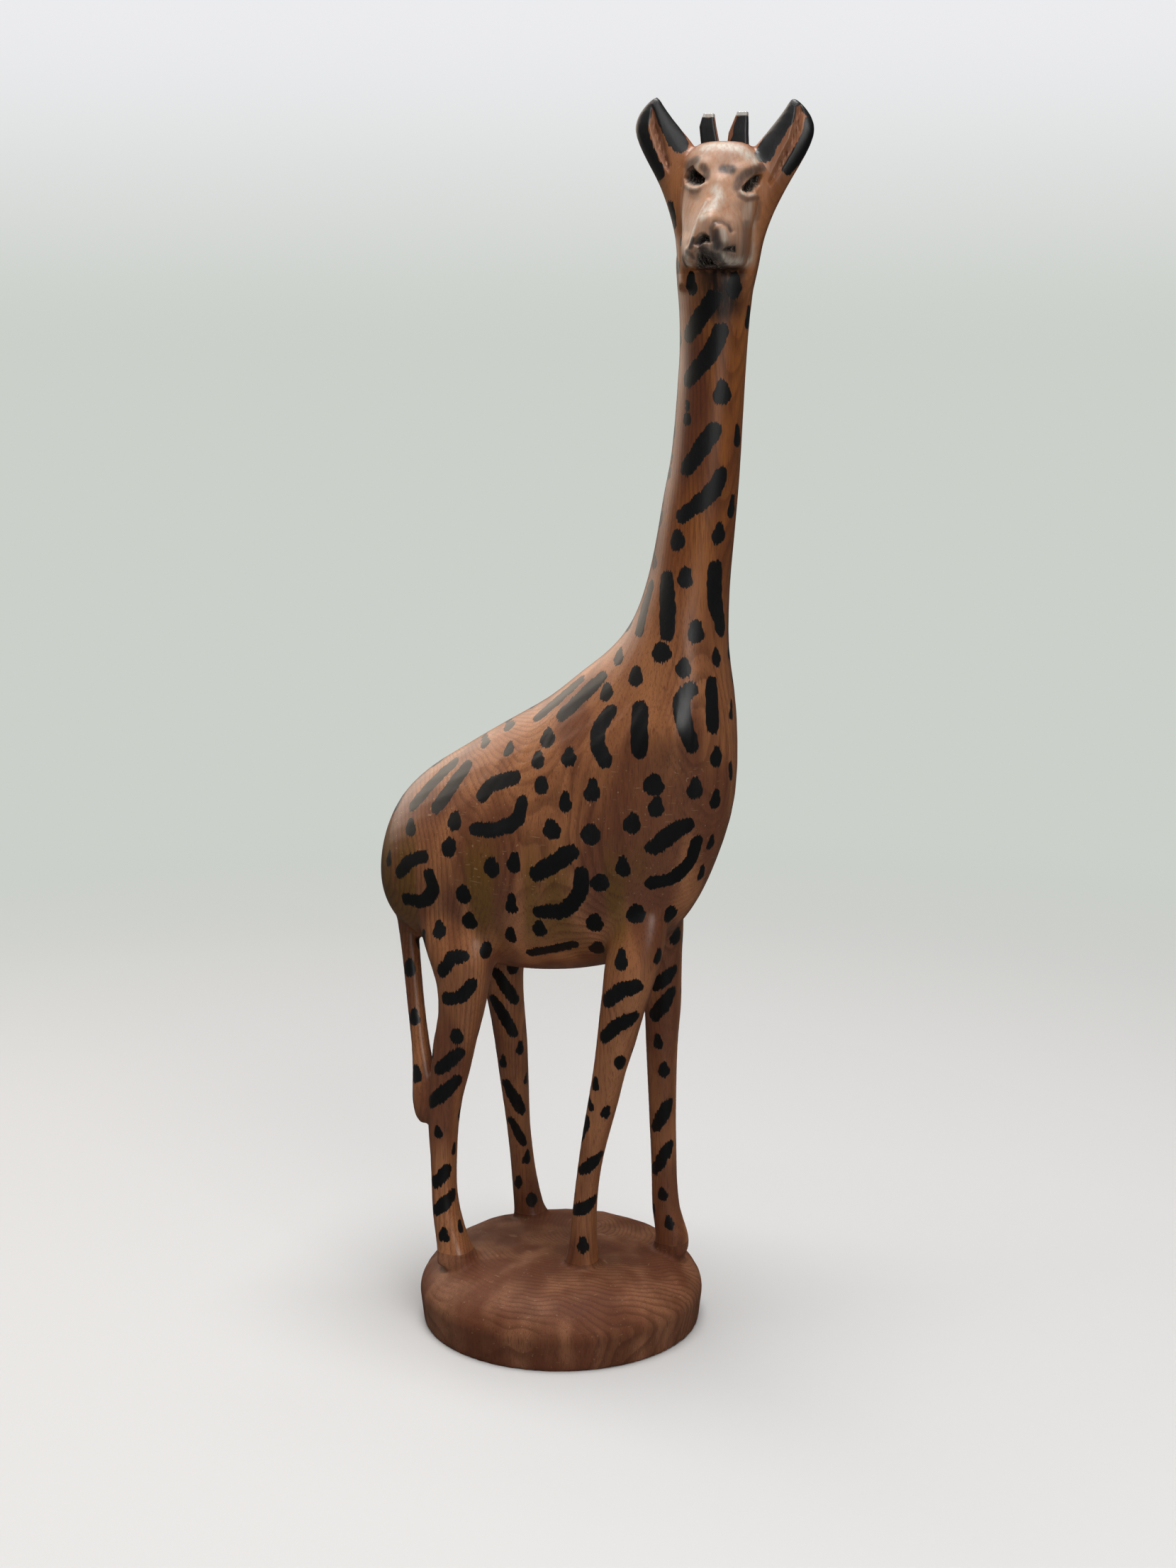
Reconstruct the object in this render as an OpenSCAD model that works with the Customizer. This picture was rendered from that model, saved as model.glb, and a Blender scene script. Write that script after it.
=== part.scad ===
// Standing giraffe carved from one block of hardwood, head turned to its right,
// tail rejoining a hind leg, on a round base of the same block.
// +X is the way the body faces, +Z is up, the origin is under the middle of the base.

/* [Base] */

// radius of the base where it meets the table
base_foot_r = 59.5; // [45:0.5:80]
// widest radius of the base
base_r = 61; // [46:0.5:82]
// height of the widest ring
base_wide_z = 13; // [6:1:20]
// height of the top of the base at its middle
base_h = 32.5; // [24:0.5:44]
// fullness of the top shoulder, less is fuller
shoulder_round = 0.45; // [0.3:0.01:1]
// how the shoulder climbs to the top
shoulder_rise = 1.1; // [0.8:0.05:1.5]
// height at which the carved legs leave the foot swellings
foot_z = 34; // [30:0.5:50]
// radius of a foot swelling down inside the base
foot_spread = 11; // [9:0.5:14]

/* [Body] */

// points round each body section
body_points = 32; // [16:4:48]
// steps between one body station and the next
body_steps = 2; // [1:1:4]
// how much narrower the back is than the belly
egg = 0.12; // [0:0.01:0.3]
// height of the cut between the body and the neck
neck_cut_z = 330; // [320:1:350]
// height of the cut between the neck and the head
head_cut_z = 441; // [436:1:442]
// height of the cut between the body and the legs
leg_cut_z = 154; // [140:1:154]
// height of the cut between the body and the tail
tail_cut_z = 166; // [160:1:170]

/* [Legs and tail] */

// points round each leg section
leg_points = 20; // [12:2:32]
// squareness of the legs, 2 for an ellipse
leg_square = 2.5; // [2:0.1:4]
// squareness of the tail, 2 for an ellipse
tail_square = 2; // [2:0.1:4]
// plane across the body where the tail rejoins the leg
hock_cut_x = -48.5; // [-52:0.5:-46]

/* [Head] */

// angle from the body's right-hand side to where the face points
head_turn = 14; // [0:1:90]
// forward place of the head's middle
head_x = 69.8; // [60:0.1:80]
// height below which the head leans over to meet the neck
lean_z = 476; // [460:1:490]
// sideways lean for each unit of height
lean_rate = 0.06; // [0:0.01:0.2]
// points round each head section
head_points = 28; // [16:2:40]
// squareness of the face and ears, 2 for an ellipse
head_square = 2.5; // [2:0.1:4]
// height at which the horns start inside the crown
horn_root_z = 486; // [480:1:488]
// height of the horn tips
horn_top_z = 502; // [495:0.1:515]
// sideways shift of the pair of horns
horn_shift = 0.8; // [-3:0.1:3]
// how far the horns stand forward of the head's middle
horn_forward = 1; // [-2:0.1:3]
// how much lower the left ear sits than the right
ear_drop = 1.2; // [0:0.1:3]
// depth of the carved hollow in each ear
ear_hollow = 2.2; // [0:0.1:4]
// depth of the eye sockets
eye_depth = 3; // [1:0.1:5]

/* [Part] */

// which sub-part to show

/* [Hidden] */

$fn = 64;
slab = 0.02;
far = 400;
foot_margin = 0.3;
wood = [0.52, 0.33, 0.22];
dark_wood = [0.44, 0.27, 0.19];
ink = [0.1, 0.1, 0.12];

// body stations: back point x, z, front point x, z, half width
body_rails = [
  [-80.5, 198, -80.5, 189, 5],
  [-78.5, 212, -78, 177, 14],
  [-71.5, 226, -71, 168, 21.5],
  [-59.5, 237.5, -60, 161.5, 26.5],
  [-43, 248, -46, 156, 30],
  [-24, 259.5, -26, 154.2, 32],
  [-4.5, 271, -4, 154.6, 32.5],
  [10.5, 282.6, 19, 158.6, 31.5],
  [23.5, 293, 40, 167, 29.5],
  [32, 303, 57, 184, 27.5],
  [37, 313, 68, 206, 25],
  [40.5, 324, 75.5, 232, 22.5],
  [43, 335, 76, 262, 19.5],
  [45, 346, 72.6, 290, 17],
  [47, 358, 72.8, 316, 15],
  [49.5, 371, 75, 342, 13.8],
  [51, 385, 76.8, 364, 13],
  [52, 399, 78, 387, 12.5],
  [52.7, 412, 79.2, 409, 12],
  [52.4, 427, 80.4, 425, 12.2],
  [50.8, 443, 82.4, 442.5, 13],
];
// stations at which the neck starts, the body ends and the nape inside the head starts
neck_first = 10;
body_last = 17;
nape_first = 18;
last_station = len(body_rails) - 1;

// leg stations from the foot up: z, centre x, centre y, half length, half width
hind_right = [[30, -35, -29, 8.5, 8.5], [37, -37.5, -28.8, 6.8, 7], [50, -41, -28, 5.3, 6.2],
  [62, -42.3, -27.5, 4.8, 5.8], [75, -42.7, -26.8, 5.2, 5.9], [87, -43, -26.2, 6, 6.2],
  [100, -42, -25.5, 6.8, 6.6], [112, -40, -24.8, 8, 7], [125, -38, -24.2, 8.8, 7.6],
  [137, -35.4, -23.5, 9.2, 8.4], [150, -34.6, -22.8, 11, 9.4], [162, -35.6, -22, 14.4, 11],
  [176, -39, -18.8, 17, 10.6], [192, -41, -14.5, 15, 10], [210, -40, -10, 8, 7]];
hind_left = [[30, -25.5, 24.5, 8, 8], [37, -27.3, 24, 6, 6.6], [50, -28.8, 23, 5, 5.8],
  [62, -29.7, 22, 4.6, 5.5], [75, -30.6, 21, 4.6, 5.6], [87, -31.3, 20.3, 5.2, 6],
  [100, -32, 19.4, 6, 6.4], [112, -32.6, 18.6, 6.6, 6.8], [125, -33.7, 17.8, 7.1, 7.4],
  [137, -35, 17, 7.8, 8.2], [150, -36.4, 16.8, 9.8, 9.2], [162, -36.4, 16.6, 14, 10.8],
  [176, -39, 14.4, 17, 10.6], [192, -41, 10.5, 15, 10], [210, -40, 6, 8, 7]];
front_right = [[30, 17.2, -16.5, 7.6, 7.4], [41, 18.2, -17.1, 5.6, 6.2], [54, 18.9, -17.3, 4.8, 5.6],
  [67, 20.2, -17.5, 4.5, 5.4], [80, 22.2, -17.7, 4.7, 5.4], [93, 24.9, -17.9, 5.4, 5.7],
  [106, 27.9, -18.1, 6, 6], [119, 30.7, -18.3, 6.5, 6.4], [131, 33.6, -18.5, 7.7, 7],
  [144, 36.2, -18.7, 8.8, 7.8], [156, 38.8, -18.6, 10.2, 8.8], [169, 41, -17, 11.6, 9.2],
  [184, 43, -13.8, 10.6, 8.6], [205, 44, -9, 6, 6]];
front_left = [[30, 47, 18.4, 8.2, 7.4], [37, 44.2, 17.9, 6.6, 6.6], [48, 41.7, 17.6, 5.6, 5.8],
  [61, 40.9, 17.2, 5.1, 5.5], [74, 40.6, 16.8, 5.1, 5.5], [87, 40.3, 16.4, 5.3, 5.6],
  [99, 40.2, 16, 5.6, 5.8], [112, 40.2, 15.6, 6, 6.1], [125, 40.3, 15.2, 6.5, 6.6],
  [138, 40.8, 14.8, 7.2, 7.4], [150, 40.6, 14.4, 7.8, 8.2], [165, 40.2, 13.4, 8.8, 8.8],
  [182, 41.4, 10, 9.6, 8.6], [205, 44, 5, 6, 6]];

// tail stations from the tip up
tail_line = [[87.5, -51, -25.4, 3, 3], [90.5, -51.6, -25.2, 5, 4], [98, -52.6, -24.6, 5.6, 4.4],
  [108, -54, -22.6, 5, 4.2], [120, -57, -19.5, 4, 3.8], [135, -60.8, -16, 3.7, 3.6],
  [150, -64, -12.8, 3.8, 3.6], [165, -67.2, -9.6, 4.2, 4], [178, -70.6, -6.6, 4.8, 4.8],
  [190, -73, -4, 6, 6]];

// face stations from the chin up: z, centre forward, half width, half depth
face_line = [[442.4, 4, 12, 16.4], [446, 7.4, 12.8, 19.8], [451, 8.8, 13, 21],
  [457, 8.2, 13.4, 20.2], [464, 5.9, 14.4, 17.6], [472, 3.6, 15, 14.6], [480, 2.3, 14.6, 11.9],
  [486, 1.9, 12.6, 9.1], [489.4, 1.9, 9.4, 5.7], [490.4, 1.9, 5, 2.7]];

// ear stations from the neck up: outer edge u, z, inner edge u, z, half thickness
ear_rails = [[13.2, 436, 4, 436, 9], [15, 444, 4, 448, 9], [17, 454, 4, 460, 8.4],
  [20.2, 464, 5, 472, 7.4], [24.8, 474.5, 7.5, 482, 6.4], [30.6, 485, 12, 489.6, 5],
  [33.6, 491.6, 15.6, 494, 4.2], [34.4, 496.4, 19.4, 498.6, 3.6], [32.8, 501, 22.6, 502.8, 2.8],
  [29.6, 505, 24.8, 506.2, 1.8], [27.2, 506.9, 25.8, 507.4, 0.8]];
// place u, z and slope of the plane that parts an ear from the head
ear_cut = [17.4, 479.5];
ear_cut_turn = 53;
// the left ear is set down from this height, in full after this much more height
drop_from_z = 464;
drop_over = 30;

// hollows in the head: place u, v, z, half sizes and turn
scoop_place = [22.5, -5.4, 489];
scoop_half = [3.4, ear_hollow + 1.4, 14];
scoop_turn = 25;
eye_place = [11, -13.6, 474.5];
eye_half = [4.2, eye_depth, 3];
eye_turn = 40;
mouth_place = [0, -30, 449];
mouth_half = [6.5, 4, 3.4];

// horn stations: z, centre u, half width, half depth
horn_line = [[horn_root_z, 5, 3.8, 3.8], [497, 6.2, 3.1, 3.2], [horn_top_z, 6.4, 2, 2.5]];

// outline of the base from the table up, as radius and height
shoulder_steps = 8;
shoulder = [for (i = [0:shoulder_steps])
  let(a = 90 * i / shoulder_steps)
  [base_r * pow(cos(a), shoulder_round), base_wide_z + (base_h - base_wide_z) * pow(sin(a), shoulder_rise)]];
base_outline = concat([[0, 0], [base_foot_r, 0]], [for (p = shoulder) [max(p[0], 0), p[1]]]);

// value on the smooth curve through stations s, t counted in stations
function along(s, t) =
  let(i = min(floor(t), len(s) - 2), f = t - i,
    a = s[max(i - 1, 0)], b = s[i], c = s[i + 1], d = s[min(i + 2, len(s) - 1)])
  0.5 * (2 * b + (c - a) * f + (2 * a - 5 * b + 4 * c - d) * f * f
    + (3 * b - a - 3 * c + d) * f * f * f);

// how far the head leans over at height z, towards the neck below
function lean(z) = -max(0, lean_z - z) * lean_rate;

// signed power, for squared ellipses
function bulge(v, n) = sign(v) * pow(abs(v), 2 / n);

// outline with half sizes a and b, squareness n, narrowed towards +X by e
function ring(a, b, n, count, e = 0) = [for (i = [0:count - 1])
  let(t = 360 * i / count)
  [a * bulge(cos(t), n), b * bulge(sin(t), n) * (1 - e * cos(t))]];

// thin slice between two edge points of a profile in the XZ plane
module edge_slice(s, n, count, e = 0) {
  reach = norm([s[0] - s[2], s[1] - s[3]]) / 2;
  translate([(s[0] + s[2]) / 2, 0, (s[1] + s[3]) / 2])
    rotate([0, -atan2(s[1] - s[3], s[0] - s[2]), 0])
      linear_extrude(slab)
        polygon(ring(reach, s[4], n, count, e));
}

// level slice of a limb at its own height
module level_slice(s, n, count) {
  translate([s[1], s[2], s[0]])
    linear_extrude(slab)
      polygon(ring(s[3], s[4], n, count));
}

module limb(s, n = leg_square) {
  for (i = [0:len(s) - 2])
    hull() {
      level_slice(s[i], n, leg_points);
      level_slice(s[i + 1], n, leg_points);
    }
}

// body and neck between two stations
module trunk(first, last) {
  for (i = [first * body_steps:last * body_steps - 1])
    hull() {
      edge_slice(along(body_rails, i / body_steps), 2, body_points, egg);
      edge_slice(along(body_rails, (i + 1) / body_steps), 2, body_points, egg);
    }
}

module above(z) {
  translate([-far / 2, -far / 2, z])
    cube([far, far, far]);
}

module below(z) {
  translate([-far / 2, -far / 2, z - far])
    cube([far, far, far]);
}

// the head's own frame: u to its left-hand side, v forward
module in_head() {
  translate([head_x, 0, 0])
    rotate([0, 0, head_turn])
      children();
}

module face_slice(s) {
  translate([lean(s[0]), -s[1], s[0]])
    linear_extrude(slab)
      polygon(ring(s[2], s[3], head_square, head_points));
}

module face() {
  for (i = [0:len(face_line) - 2])
    hull() {
      face_slice(face_line[i]);
      face_slice(face_line[i + 1]);
    }
}

// ear station moved over by the head's lean towards the neck below it
function leaned(s, side) = s + [side * lean(s[1]), -drop(side, s[1]), side * lean(s[3]),
  -drop(side, s[3]), 0];

// how far the ear on this side is set down at height z
function drop(side, z) =
  side < 0 ? 0 : ear_drop * max(0, min(1, (z - drop_from_z) / drop_over));

module ear_form(side) {
  for (i = [0:len(ear_rails) - 2])
    hull() {
      edge_slice(leaned(ear_rails[i], side), head_square, head_points);
      edge_slice(leaned(ear_rails[i + 1], side), head_square, head_points);
    }
}

// long hollow cut into the front of the ear
module ear_scoop() {
  translate(scoop_place)
    rotate([0, scoop_turn, 0])
      scale(scoop_half)
        sphere(r = 1, $fn = 20);
}

module horn_form() {
  for (i = [0:len(horn_line) - 2])
    hull() {
      horn_slice(horn_line[i]);
      horn_slice(horn_line[i + 1]);
    }
}

module horn_slice(s) {
  translate([s[1] - s[2], -horn_forward - s[3], s[0] - slab])
    cube([2 * s[2], 2 * s[3], slab]);
}

module eye_socket() {
  translate(eye_place)
    rotate([0, 0, eye_turn])
      scale(eye_half)
        sphere(r = 1, $fn = 16);
}

// hollow under the nose for the lips
module mouth_hollow() {
  translate(mouth_place)
    scale(mouth_half)
      sphere(r = 1, $fn = 16);
}

// crown, face, ears and the top of the neck as one mass
module head_mass() {
  difference() {
    union() {
      trunk(nape_first, last_station);
      in_head() {
        face();
        ear_form(1);
        mirror([1, 0, 0])
          ear_form(-1);
      }
    }
    in_head() {
      mouth_hollow();
      for (side = [0, 1])
        mirror([side, 0, 0]) {
          eye_socket();
          ear_scoop();
        }
    }
  }
}

// everything outboard of the cut at the root of one ear
module ear_space(side) {
  in_head()
    mirror([side, 0, 0])
      translate([ear_cut[0], 0, ear_cut[1]])
        rotate([0, ear_cut_turn, 0])
          translate([0, 0, -2 * slab])
            linear_extrude(far / 4)
              square([far / 4, far / 4], center = true);
}

module horn_socket(side) {
  in_head()
    translate([horn_shift, 0, 0])
      mirror([side, 0, 0])
        horn_form();
}

module base() {
  color(wood)
    union() {
      rotate_extrude()
        polygon(base_outline);
      foot_swelling(hind_right);
      foot_swelling(hind_left);
      foot_swelling(front_right);
      foot_swelling(front_left);
    }
}

// low cone on the base that a leg grows from
module foot_swelling(leg) {
  place = leg[0];
  up = (foot_z - place[0]) / (leg[1][0] - place[0]);
  spot = place + (leg[1] - place) * up;
  translate([spot[1], spot[2], base_wide_z])
    cylinder(h = foot_z - base_wide_z, r1 = foot_spread, r2 = max(spot[3], spot[4]) + foot_margin);
}

module torso() {
  color(wood)
    intersection() {
      union() {
        trunk(0, body_last);
        intersection() {
          union() {
            limb(hind_right);
            limb(hind_left);
            limb(front_right);
            limb(front_left);
          }
          above(leg_cut_z);
        }
        intersection() {
          limb(tail_line, tail_square);
          above(tail_cut_z);
        }
      }
      below(neck_cut_z);
    }
}

module neck() {
  color(wood)
    intersection() {
      trunk(neck_first, last_station);
      above(neck_cut_z);
      below(head_cut_z);
    }
}

module head() {
  color(wood)
    difference() {
      intersection() {
        head_mass();
        above(head_cut_z);
      }
      ear_space(0);
      ear_space(1);
      horn_socket(0);
      horn_socket(1);
    }
}

module ear(side) {
  intersection() {
    head_mass();
    ear_space(side);
  }
}

module ear_right() {
  color(dark_wood)
    ear(1);
}

module ear_left() {
  color(dark_wood)
    ear(0);
}

module horn_right() {
  color(ink)
    horn_socket(1);
}

module horn_left() {
  color(ink)
    horn_socket(0);
}

module leg(line) {
  intersection() {
    limb(line);
    above(foot_z);
    below(leg_cut_z);
  }
}

module leg_front_right() {
  color(wood)
    leg(front_right);
}

module leg_front_left() {
  color(wood)
    leg(front_left);
}

module leg_hind_left() {
  color(wood)
    leg(hind_left);
}

// the side of the plane where the tail meets the leg
module behind_hock() {
  translate([hock_cut_x - far, -far / 2, 0])
    cube([far, far, far]);
}

module leg_hind_right() {
  color(wood)
    union() {
      difference() {
        leg(hind_right);
        behind_hock();
      }
      difference() {
        limb(tail_line, tail_square);
        behind_hock();
        above(tail_cut_z);
      }
    }
}

module tail() {
  color(dark_wood)
    intersection() {
      limb(tail_line, tail_square);
      behind_hock();
      below(tail_cut_z);
    }
}

base();
torso();
neck();
head();
ear_right();
ear_left();
horn_right();
horn_left();
leg_front_right();
leg_front_left();
leg_hind_right();
leg_hind_left();
tail();
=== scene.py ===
import math
import random

import bpy
import numpy as np
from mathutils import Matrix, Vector, kdtree, noise
from mathutils.bvhtree import BVHTree


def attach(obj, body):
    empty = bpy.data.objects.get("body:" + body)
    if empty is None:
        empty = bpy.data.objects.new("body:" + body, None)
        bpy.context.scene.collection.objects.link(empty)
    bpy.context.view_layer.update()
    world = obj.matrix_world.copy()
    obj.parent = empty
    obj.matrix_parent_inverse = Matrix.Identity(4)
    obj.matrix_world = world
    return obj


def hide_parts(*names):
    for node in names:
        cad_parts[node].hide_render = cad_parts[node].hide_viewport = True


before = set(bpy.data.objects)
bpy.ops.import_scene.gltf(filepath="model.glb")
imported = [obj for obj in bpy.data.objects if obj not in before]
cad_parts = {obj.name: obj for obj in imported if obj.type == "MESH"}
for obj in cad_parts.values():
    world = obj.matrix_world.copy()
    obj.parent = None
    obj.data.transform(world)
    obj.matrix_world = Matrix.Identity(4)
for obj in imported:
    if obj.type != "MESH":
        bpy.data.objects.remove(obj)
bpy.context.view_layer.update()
mm = 0.001
print("frame loaded:", len(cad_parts), "parts")

viewCamera = {
    "place": (0.40284, -0.8639, 0.42646),
    "pitch": 11.4,      # degrees below level
    "heading": 24.304,  # degrees round from the flank
    "lens": 53.7,
    "sensor": 36,
}


def addCamera(settings):
    tilt = (math.radians(90 - settings["pitch"]), 0, math.radians(settings["heading"]))
    bpy.ops.object.camera_add(location=settings["place"], rotation=tilt)
    camera = bpy.context.object
    camera.data.lens = settings["lens"]
    camera.data.sensor_width = settings["sensor"]
    bpy.context.scene.camera = camera


addCamera(viewCamera)


def editMode(on):
    bpy.ops.object.mode_set(mode="EDIT" if on else "OBJECT")


def pick(*pieces):
    bpy.ops.object.select_all(action="DESELECT")
    for piece in pieces:
        piece.select_set(True)
    bpy.context.view_layer.objects.active = pieces[0]


def applyModifier(piece, kind, **settings):
    pick(piece)
    modifier = piece.modifiers.new(kind.lower(), kind)
    for key, value in settings.items():
        setattr(modifier, key, value)
    bpy.ops.object.modifier_apply(modifier=modifier.name)


def copyOf(piece, name):
    twin = piece.copy()
    twin.data = piece.data.copy()
    twin.name = name
    twin.data.name = name
    bpy.context.scene.collection.objects.link(twin)
    return twin


def points(piece):
    flat = np.zeros(len(piece.data.vertices) * 3)
    piece.data.vertices.foreach_get("co", flat)
    return flat.reshape(-1, 3)


def normals(piece):
    flat = np.zeros(len(piece.data.vertices) * 3)
    piece.data.vertices.foreach_get("normal", flat)
    return flat.reshape(-1, 3)


def setPoints(piece, places):
    piece.data.vertices.foreach_set("co", places.ravel())
    piece.data.update()


def setAttribute(piece, name, values):
    layer = piece.data.attributes.new(name, "FLOAT", "POINT")
    layer.data.foreach_set("value", np.asarray(values, dtype=np.float32))


def along(stations, t):  # a smooth curve through the stations
    i = min(int(t), len(stations) - 2)
    f = t - i
    a, b = np.array(stations[max(i - 1, 0)]), np.array(stations[i])
    c, d = np.array(stations[i + 1]), np.array(stations[min(i + 2, len(stations) - 1)])
    return 0.5 * (2 * b + (c - a) * f + (2 * a - 5 * b + 4 * c - d) * f ** 2
                  + (3 * b - a - 3 * c + d) * f ** 3)


def finer(stations, steps):
    count = (len(stations) - 1) * steps
    return [along(stations, i / steps) for i in range(count + 1)]


def raiseEnd(angle, centre):  # tips the picked section up at its +X end
    bpy.ops.transform.rotate(value=angle, orient_axis="Y", orient_type="GLOBAL", center_override=centre)


# a section is centre, half length, half width and tip, in millimetres and radians
def growForm(name, sections, ringPoints=32, square=2.0, narrow=0.0):
    bpy.ops.object.select_all(action="DESELECT")
    bpy.ops.mesh.primitive_circle_add(vertices=ringPoints, radius=1, fill_type="NGON", location=(0, 0, 0))
    form = bpy.context.object
    form.name = name
    for i, vertex in enumerate(form.data.vertices):  # the ring's own outline, squared and narrowed
        turn = 2 * math.pi * i / ringPoints
        c, s = math.cos(turn), math.sin(turn)
        vertex.co.x = math.copysign(abs(c) ** (2 / square), c)
        vertex.co.y = math.copysign(abs(s) ** (2 / square), s) * (1 - narrow * c)
    centre, halfLong, halfWide, tip = sections[0]
    editMode(True)
    bpy.ops.mesh.select_all(action="SELECT")
    bpy.ops.transform.resize(value=(halfLong * mm, halfWide * mm, 1), center_override=(0, 0, 0))
    raiseEnd(tip, (0, 0, 0))
    bpy.ops.transform.translate(value=Vector(centre) * mm)
    for nextCentre, nextLong, nextWide, nextTip in sections[1:]:
        middle = Vector(nextCentre) * mm
        step = middle - Vector(centre) * mm
        bpy.ops.mesh.extrude_region_move(TRANSFORM_OT_translate={"value": step})
        raiseEnd(-tip, middle)
        growth = (nextLong / halfLong, nextWide / halfWide, 1)
        bpy.ops.transform.resize(value=growth, center_override=middle)
        raiseEnd(nextTip, middle)
        centre, halfLong, halfWide, tip = nextCentre, nextLong, nextWide, nextTip
    bpy.ops.mesh.select_all(action="SELECT")
    bpy.ops.mesh.normals_make_consistent(inside=False)
    editMode(False)
    return form


def railSection(s):  # between two edge points of a profile: x, z, x, z, half width
    reach = math.hypot(s[0] - s[2], s[1] - s[3]) / 2
    middle = ((s[0] + s[2]) / 2, 0, (s[1] + s[3]) / 2)
    return middle, reach, s[4], math.atan2(s[1] - s[3], s[0] - s[2])


def levelSection(s):  # height, centre x, centre y, half length, half width
    return (s[1], s[2], s[0]), s[3], s[4], 0


trunk = {
    # back point x, z, front point x, z, half width
    "rails": [
        (-80.5, 198, -80.5, 189, 5), (-78.5, 212, -78, 177, 14), (-71.5, 226, -71, 168, 21.5),
        (-59.5, 237.5, -60, 161.5, 26.5), (-43, 248, -46, 156, 30), (-24, 259.5, -26, 154.2, 32),
        (-4.5, 271, -4, 154.6, 32.5), (10.5, 282.6, 19, 158.6, 31.5), (23.5, 293, 40, 167, 29.5),
        (32, 303, 57, 184, 27.5), (37, 313, 68, 206, 25), (40.5, 324, 75.5, 232, 22.5),
        (43, 335, 76, 262, 19.5), (45, 346, 72.6, 290, 17), (47, 358, 72.8, 316, 15),
        (49.5, 371, 75, 342, 13.8), (51, 385, 76.8, 364, 13), (52, 399, 78, 387, 12.5),
        (52.7, 412, 79.2, 409, 12), (52.4, 427, 80.4, 425, 12.2), (50.9, 443, 82.4, 442.5, 12.8),
        (51.4, 450, 81.6, 449.5, 11.8), (54, 457, 79.5, 456.5, 9.8), (58, 463, 76, 462.5, 6.6),
    ],
    "steps": 3,
    "ringPoints": 40,
    "square": 2,
    "narrow": 0.12,  # the back is narrower than the belly
}
legLines = {
    "legHindRight": [
        (28, -34, -29, 9.5, 9.2), (32, -35.5, -29, 8, 8), (37, -37.5, -28.8, 6.6, 6.8),
        (50, -41, -28, 5.3, 6.2), (62, -42.3, -27.5, 4.8, 5.8), (75, -42.7, -26.8, 5.2, 5.9),
        (87, -43, -26.2, 6, 6.2), (100, -42, -25.5, 6.8, 6.6), (112, -40, -24.8, 8, 7),
        (125, -38, -24.2, 8.8, 7.6), (137, -35.4, -23.5, 9.2, 8.4), (150, -34.6, -22.8, 11, 9.4),
        (162, -35.6, -22, 14.4, 11), (176, -39, -18.8, 17, 10.6), (192, -41, -14.5, 15, 10),
        (210, -40, -10, 8, 7),
    ],
    "legHindLeft": [
        (28, -24.5, 24.6, 9.2, 8.8), (32, -26, 24.4, 7.4, 7.6), (37, -27.3, 24, 6, 6.6),
        (50, -28.8, 23, 5, 5.8), (62, -29.7, 22, 4.6, 5.5), (75, -30.6, 21, 4.6, 5.6),
        (87, -31.3, 20.3, 5.2, 6), (100, -32, 19.4, 6, 6.4), (112, -32.6, 18.6, 6.6, 6.8),
        (125, -33.7, 17.8, 7.1, 7.4), (137, -35, 17, 7.8, 8.2), (150, -36.4, 16.8, 9.8, 9.2),
        (162, -36.4, 16.6, 14, 10.8), (176, -39, 14.4, 17, 10.6), (192, -41, 10.5, 15, 10),
        (210, -40, 6, 8, 7),
    ],
    "legFrontRight": [
        (28, 17, -16.5, 8.8, 8.2), (34, 17.6, -16.8, 6.8, 6.9), (41, 18.2, -17.1, 5.6, 6.2),
        (54, 18.9, -17.3, 4.8, 5.6), (67, 20.2, -17.5, 4.5, 5.4), (80, 22.2, -17.7, 4.7, 5.4),
        (93, 24.9, -17.9, 5.4, 5.7), (106, 27.9, -18.1, 6, 6), (119, 30.7, -18.3, 6.5, 6.4),
        (131, 33.6, -18.5, 7.7, 7), (144, 36.2, -18.7, 8.8, 7.8), (156, 38.8, -18.6, 10.2, 8.8),
        (169, 41, -17, 11.6, 9.2), (184, 43, -13.8, 10.6, 8.6), (205, 44, -9, 6, 6),
    ],
    "legFrontLeft": [
        (24, 41, 17, 7, 7), (30, 43.6, 17.8, 7.4, 7.2), (37, 44.2, 17.9, 6.6, 6.6),
        (48, 41.7, 17.6, 5.6, 5.8), (61, 40.9, 17.2, 5.1, 5.5), (74, 40.6, 16.8, 5.1, 5.5),
        (87, 40.3, 16.4, 5.3, 5.6), (99, 40.2, 16, 5.6, 5.8), (112, 40.2, 15.6, 6, 6.1),
        (125, 40.3, 15.2, 6.5, 6.6), (138, 40.8, 14.8, 7.2, 7.4), (150, 40.6, 14.4, 7.8, 8.2),
        (165, 40.2, 13.4, 8.8, 8.8), (182, 41.4, 10, 9.6, 8.6), (205, 44, 5, 6, 6),
    ],
    "tail": [
        (87.5, -51, -25.4, 3, 3), (90.5, -51.6, -25.2, 5, 4), (98, -52.6, -24.6, 5.6, 4.4),
        (108, -54, -22.6, 5, 4.2), (120, -57, -19.5, 4, 3.8), (135, -60.8, -16, 3.7, 3.6),
        (150, -64, -12.8, 3.8, 3.6), (165, -67.2, -9.6, 4.2, 4), (178, -70.6, -6.6, 4.8, 4.8),
        (190, -73, -4, 6, 6),
    ],
}
legShape = {"square": 2.7, "tailSquare": 2.1, "ringPoints": 24, "steps": 2}
headFrame = {"turn": math.radians(14), "x": 69.8, "leanFrom": 476, "lean": 0.06}
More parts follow.
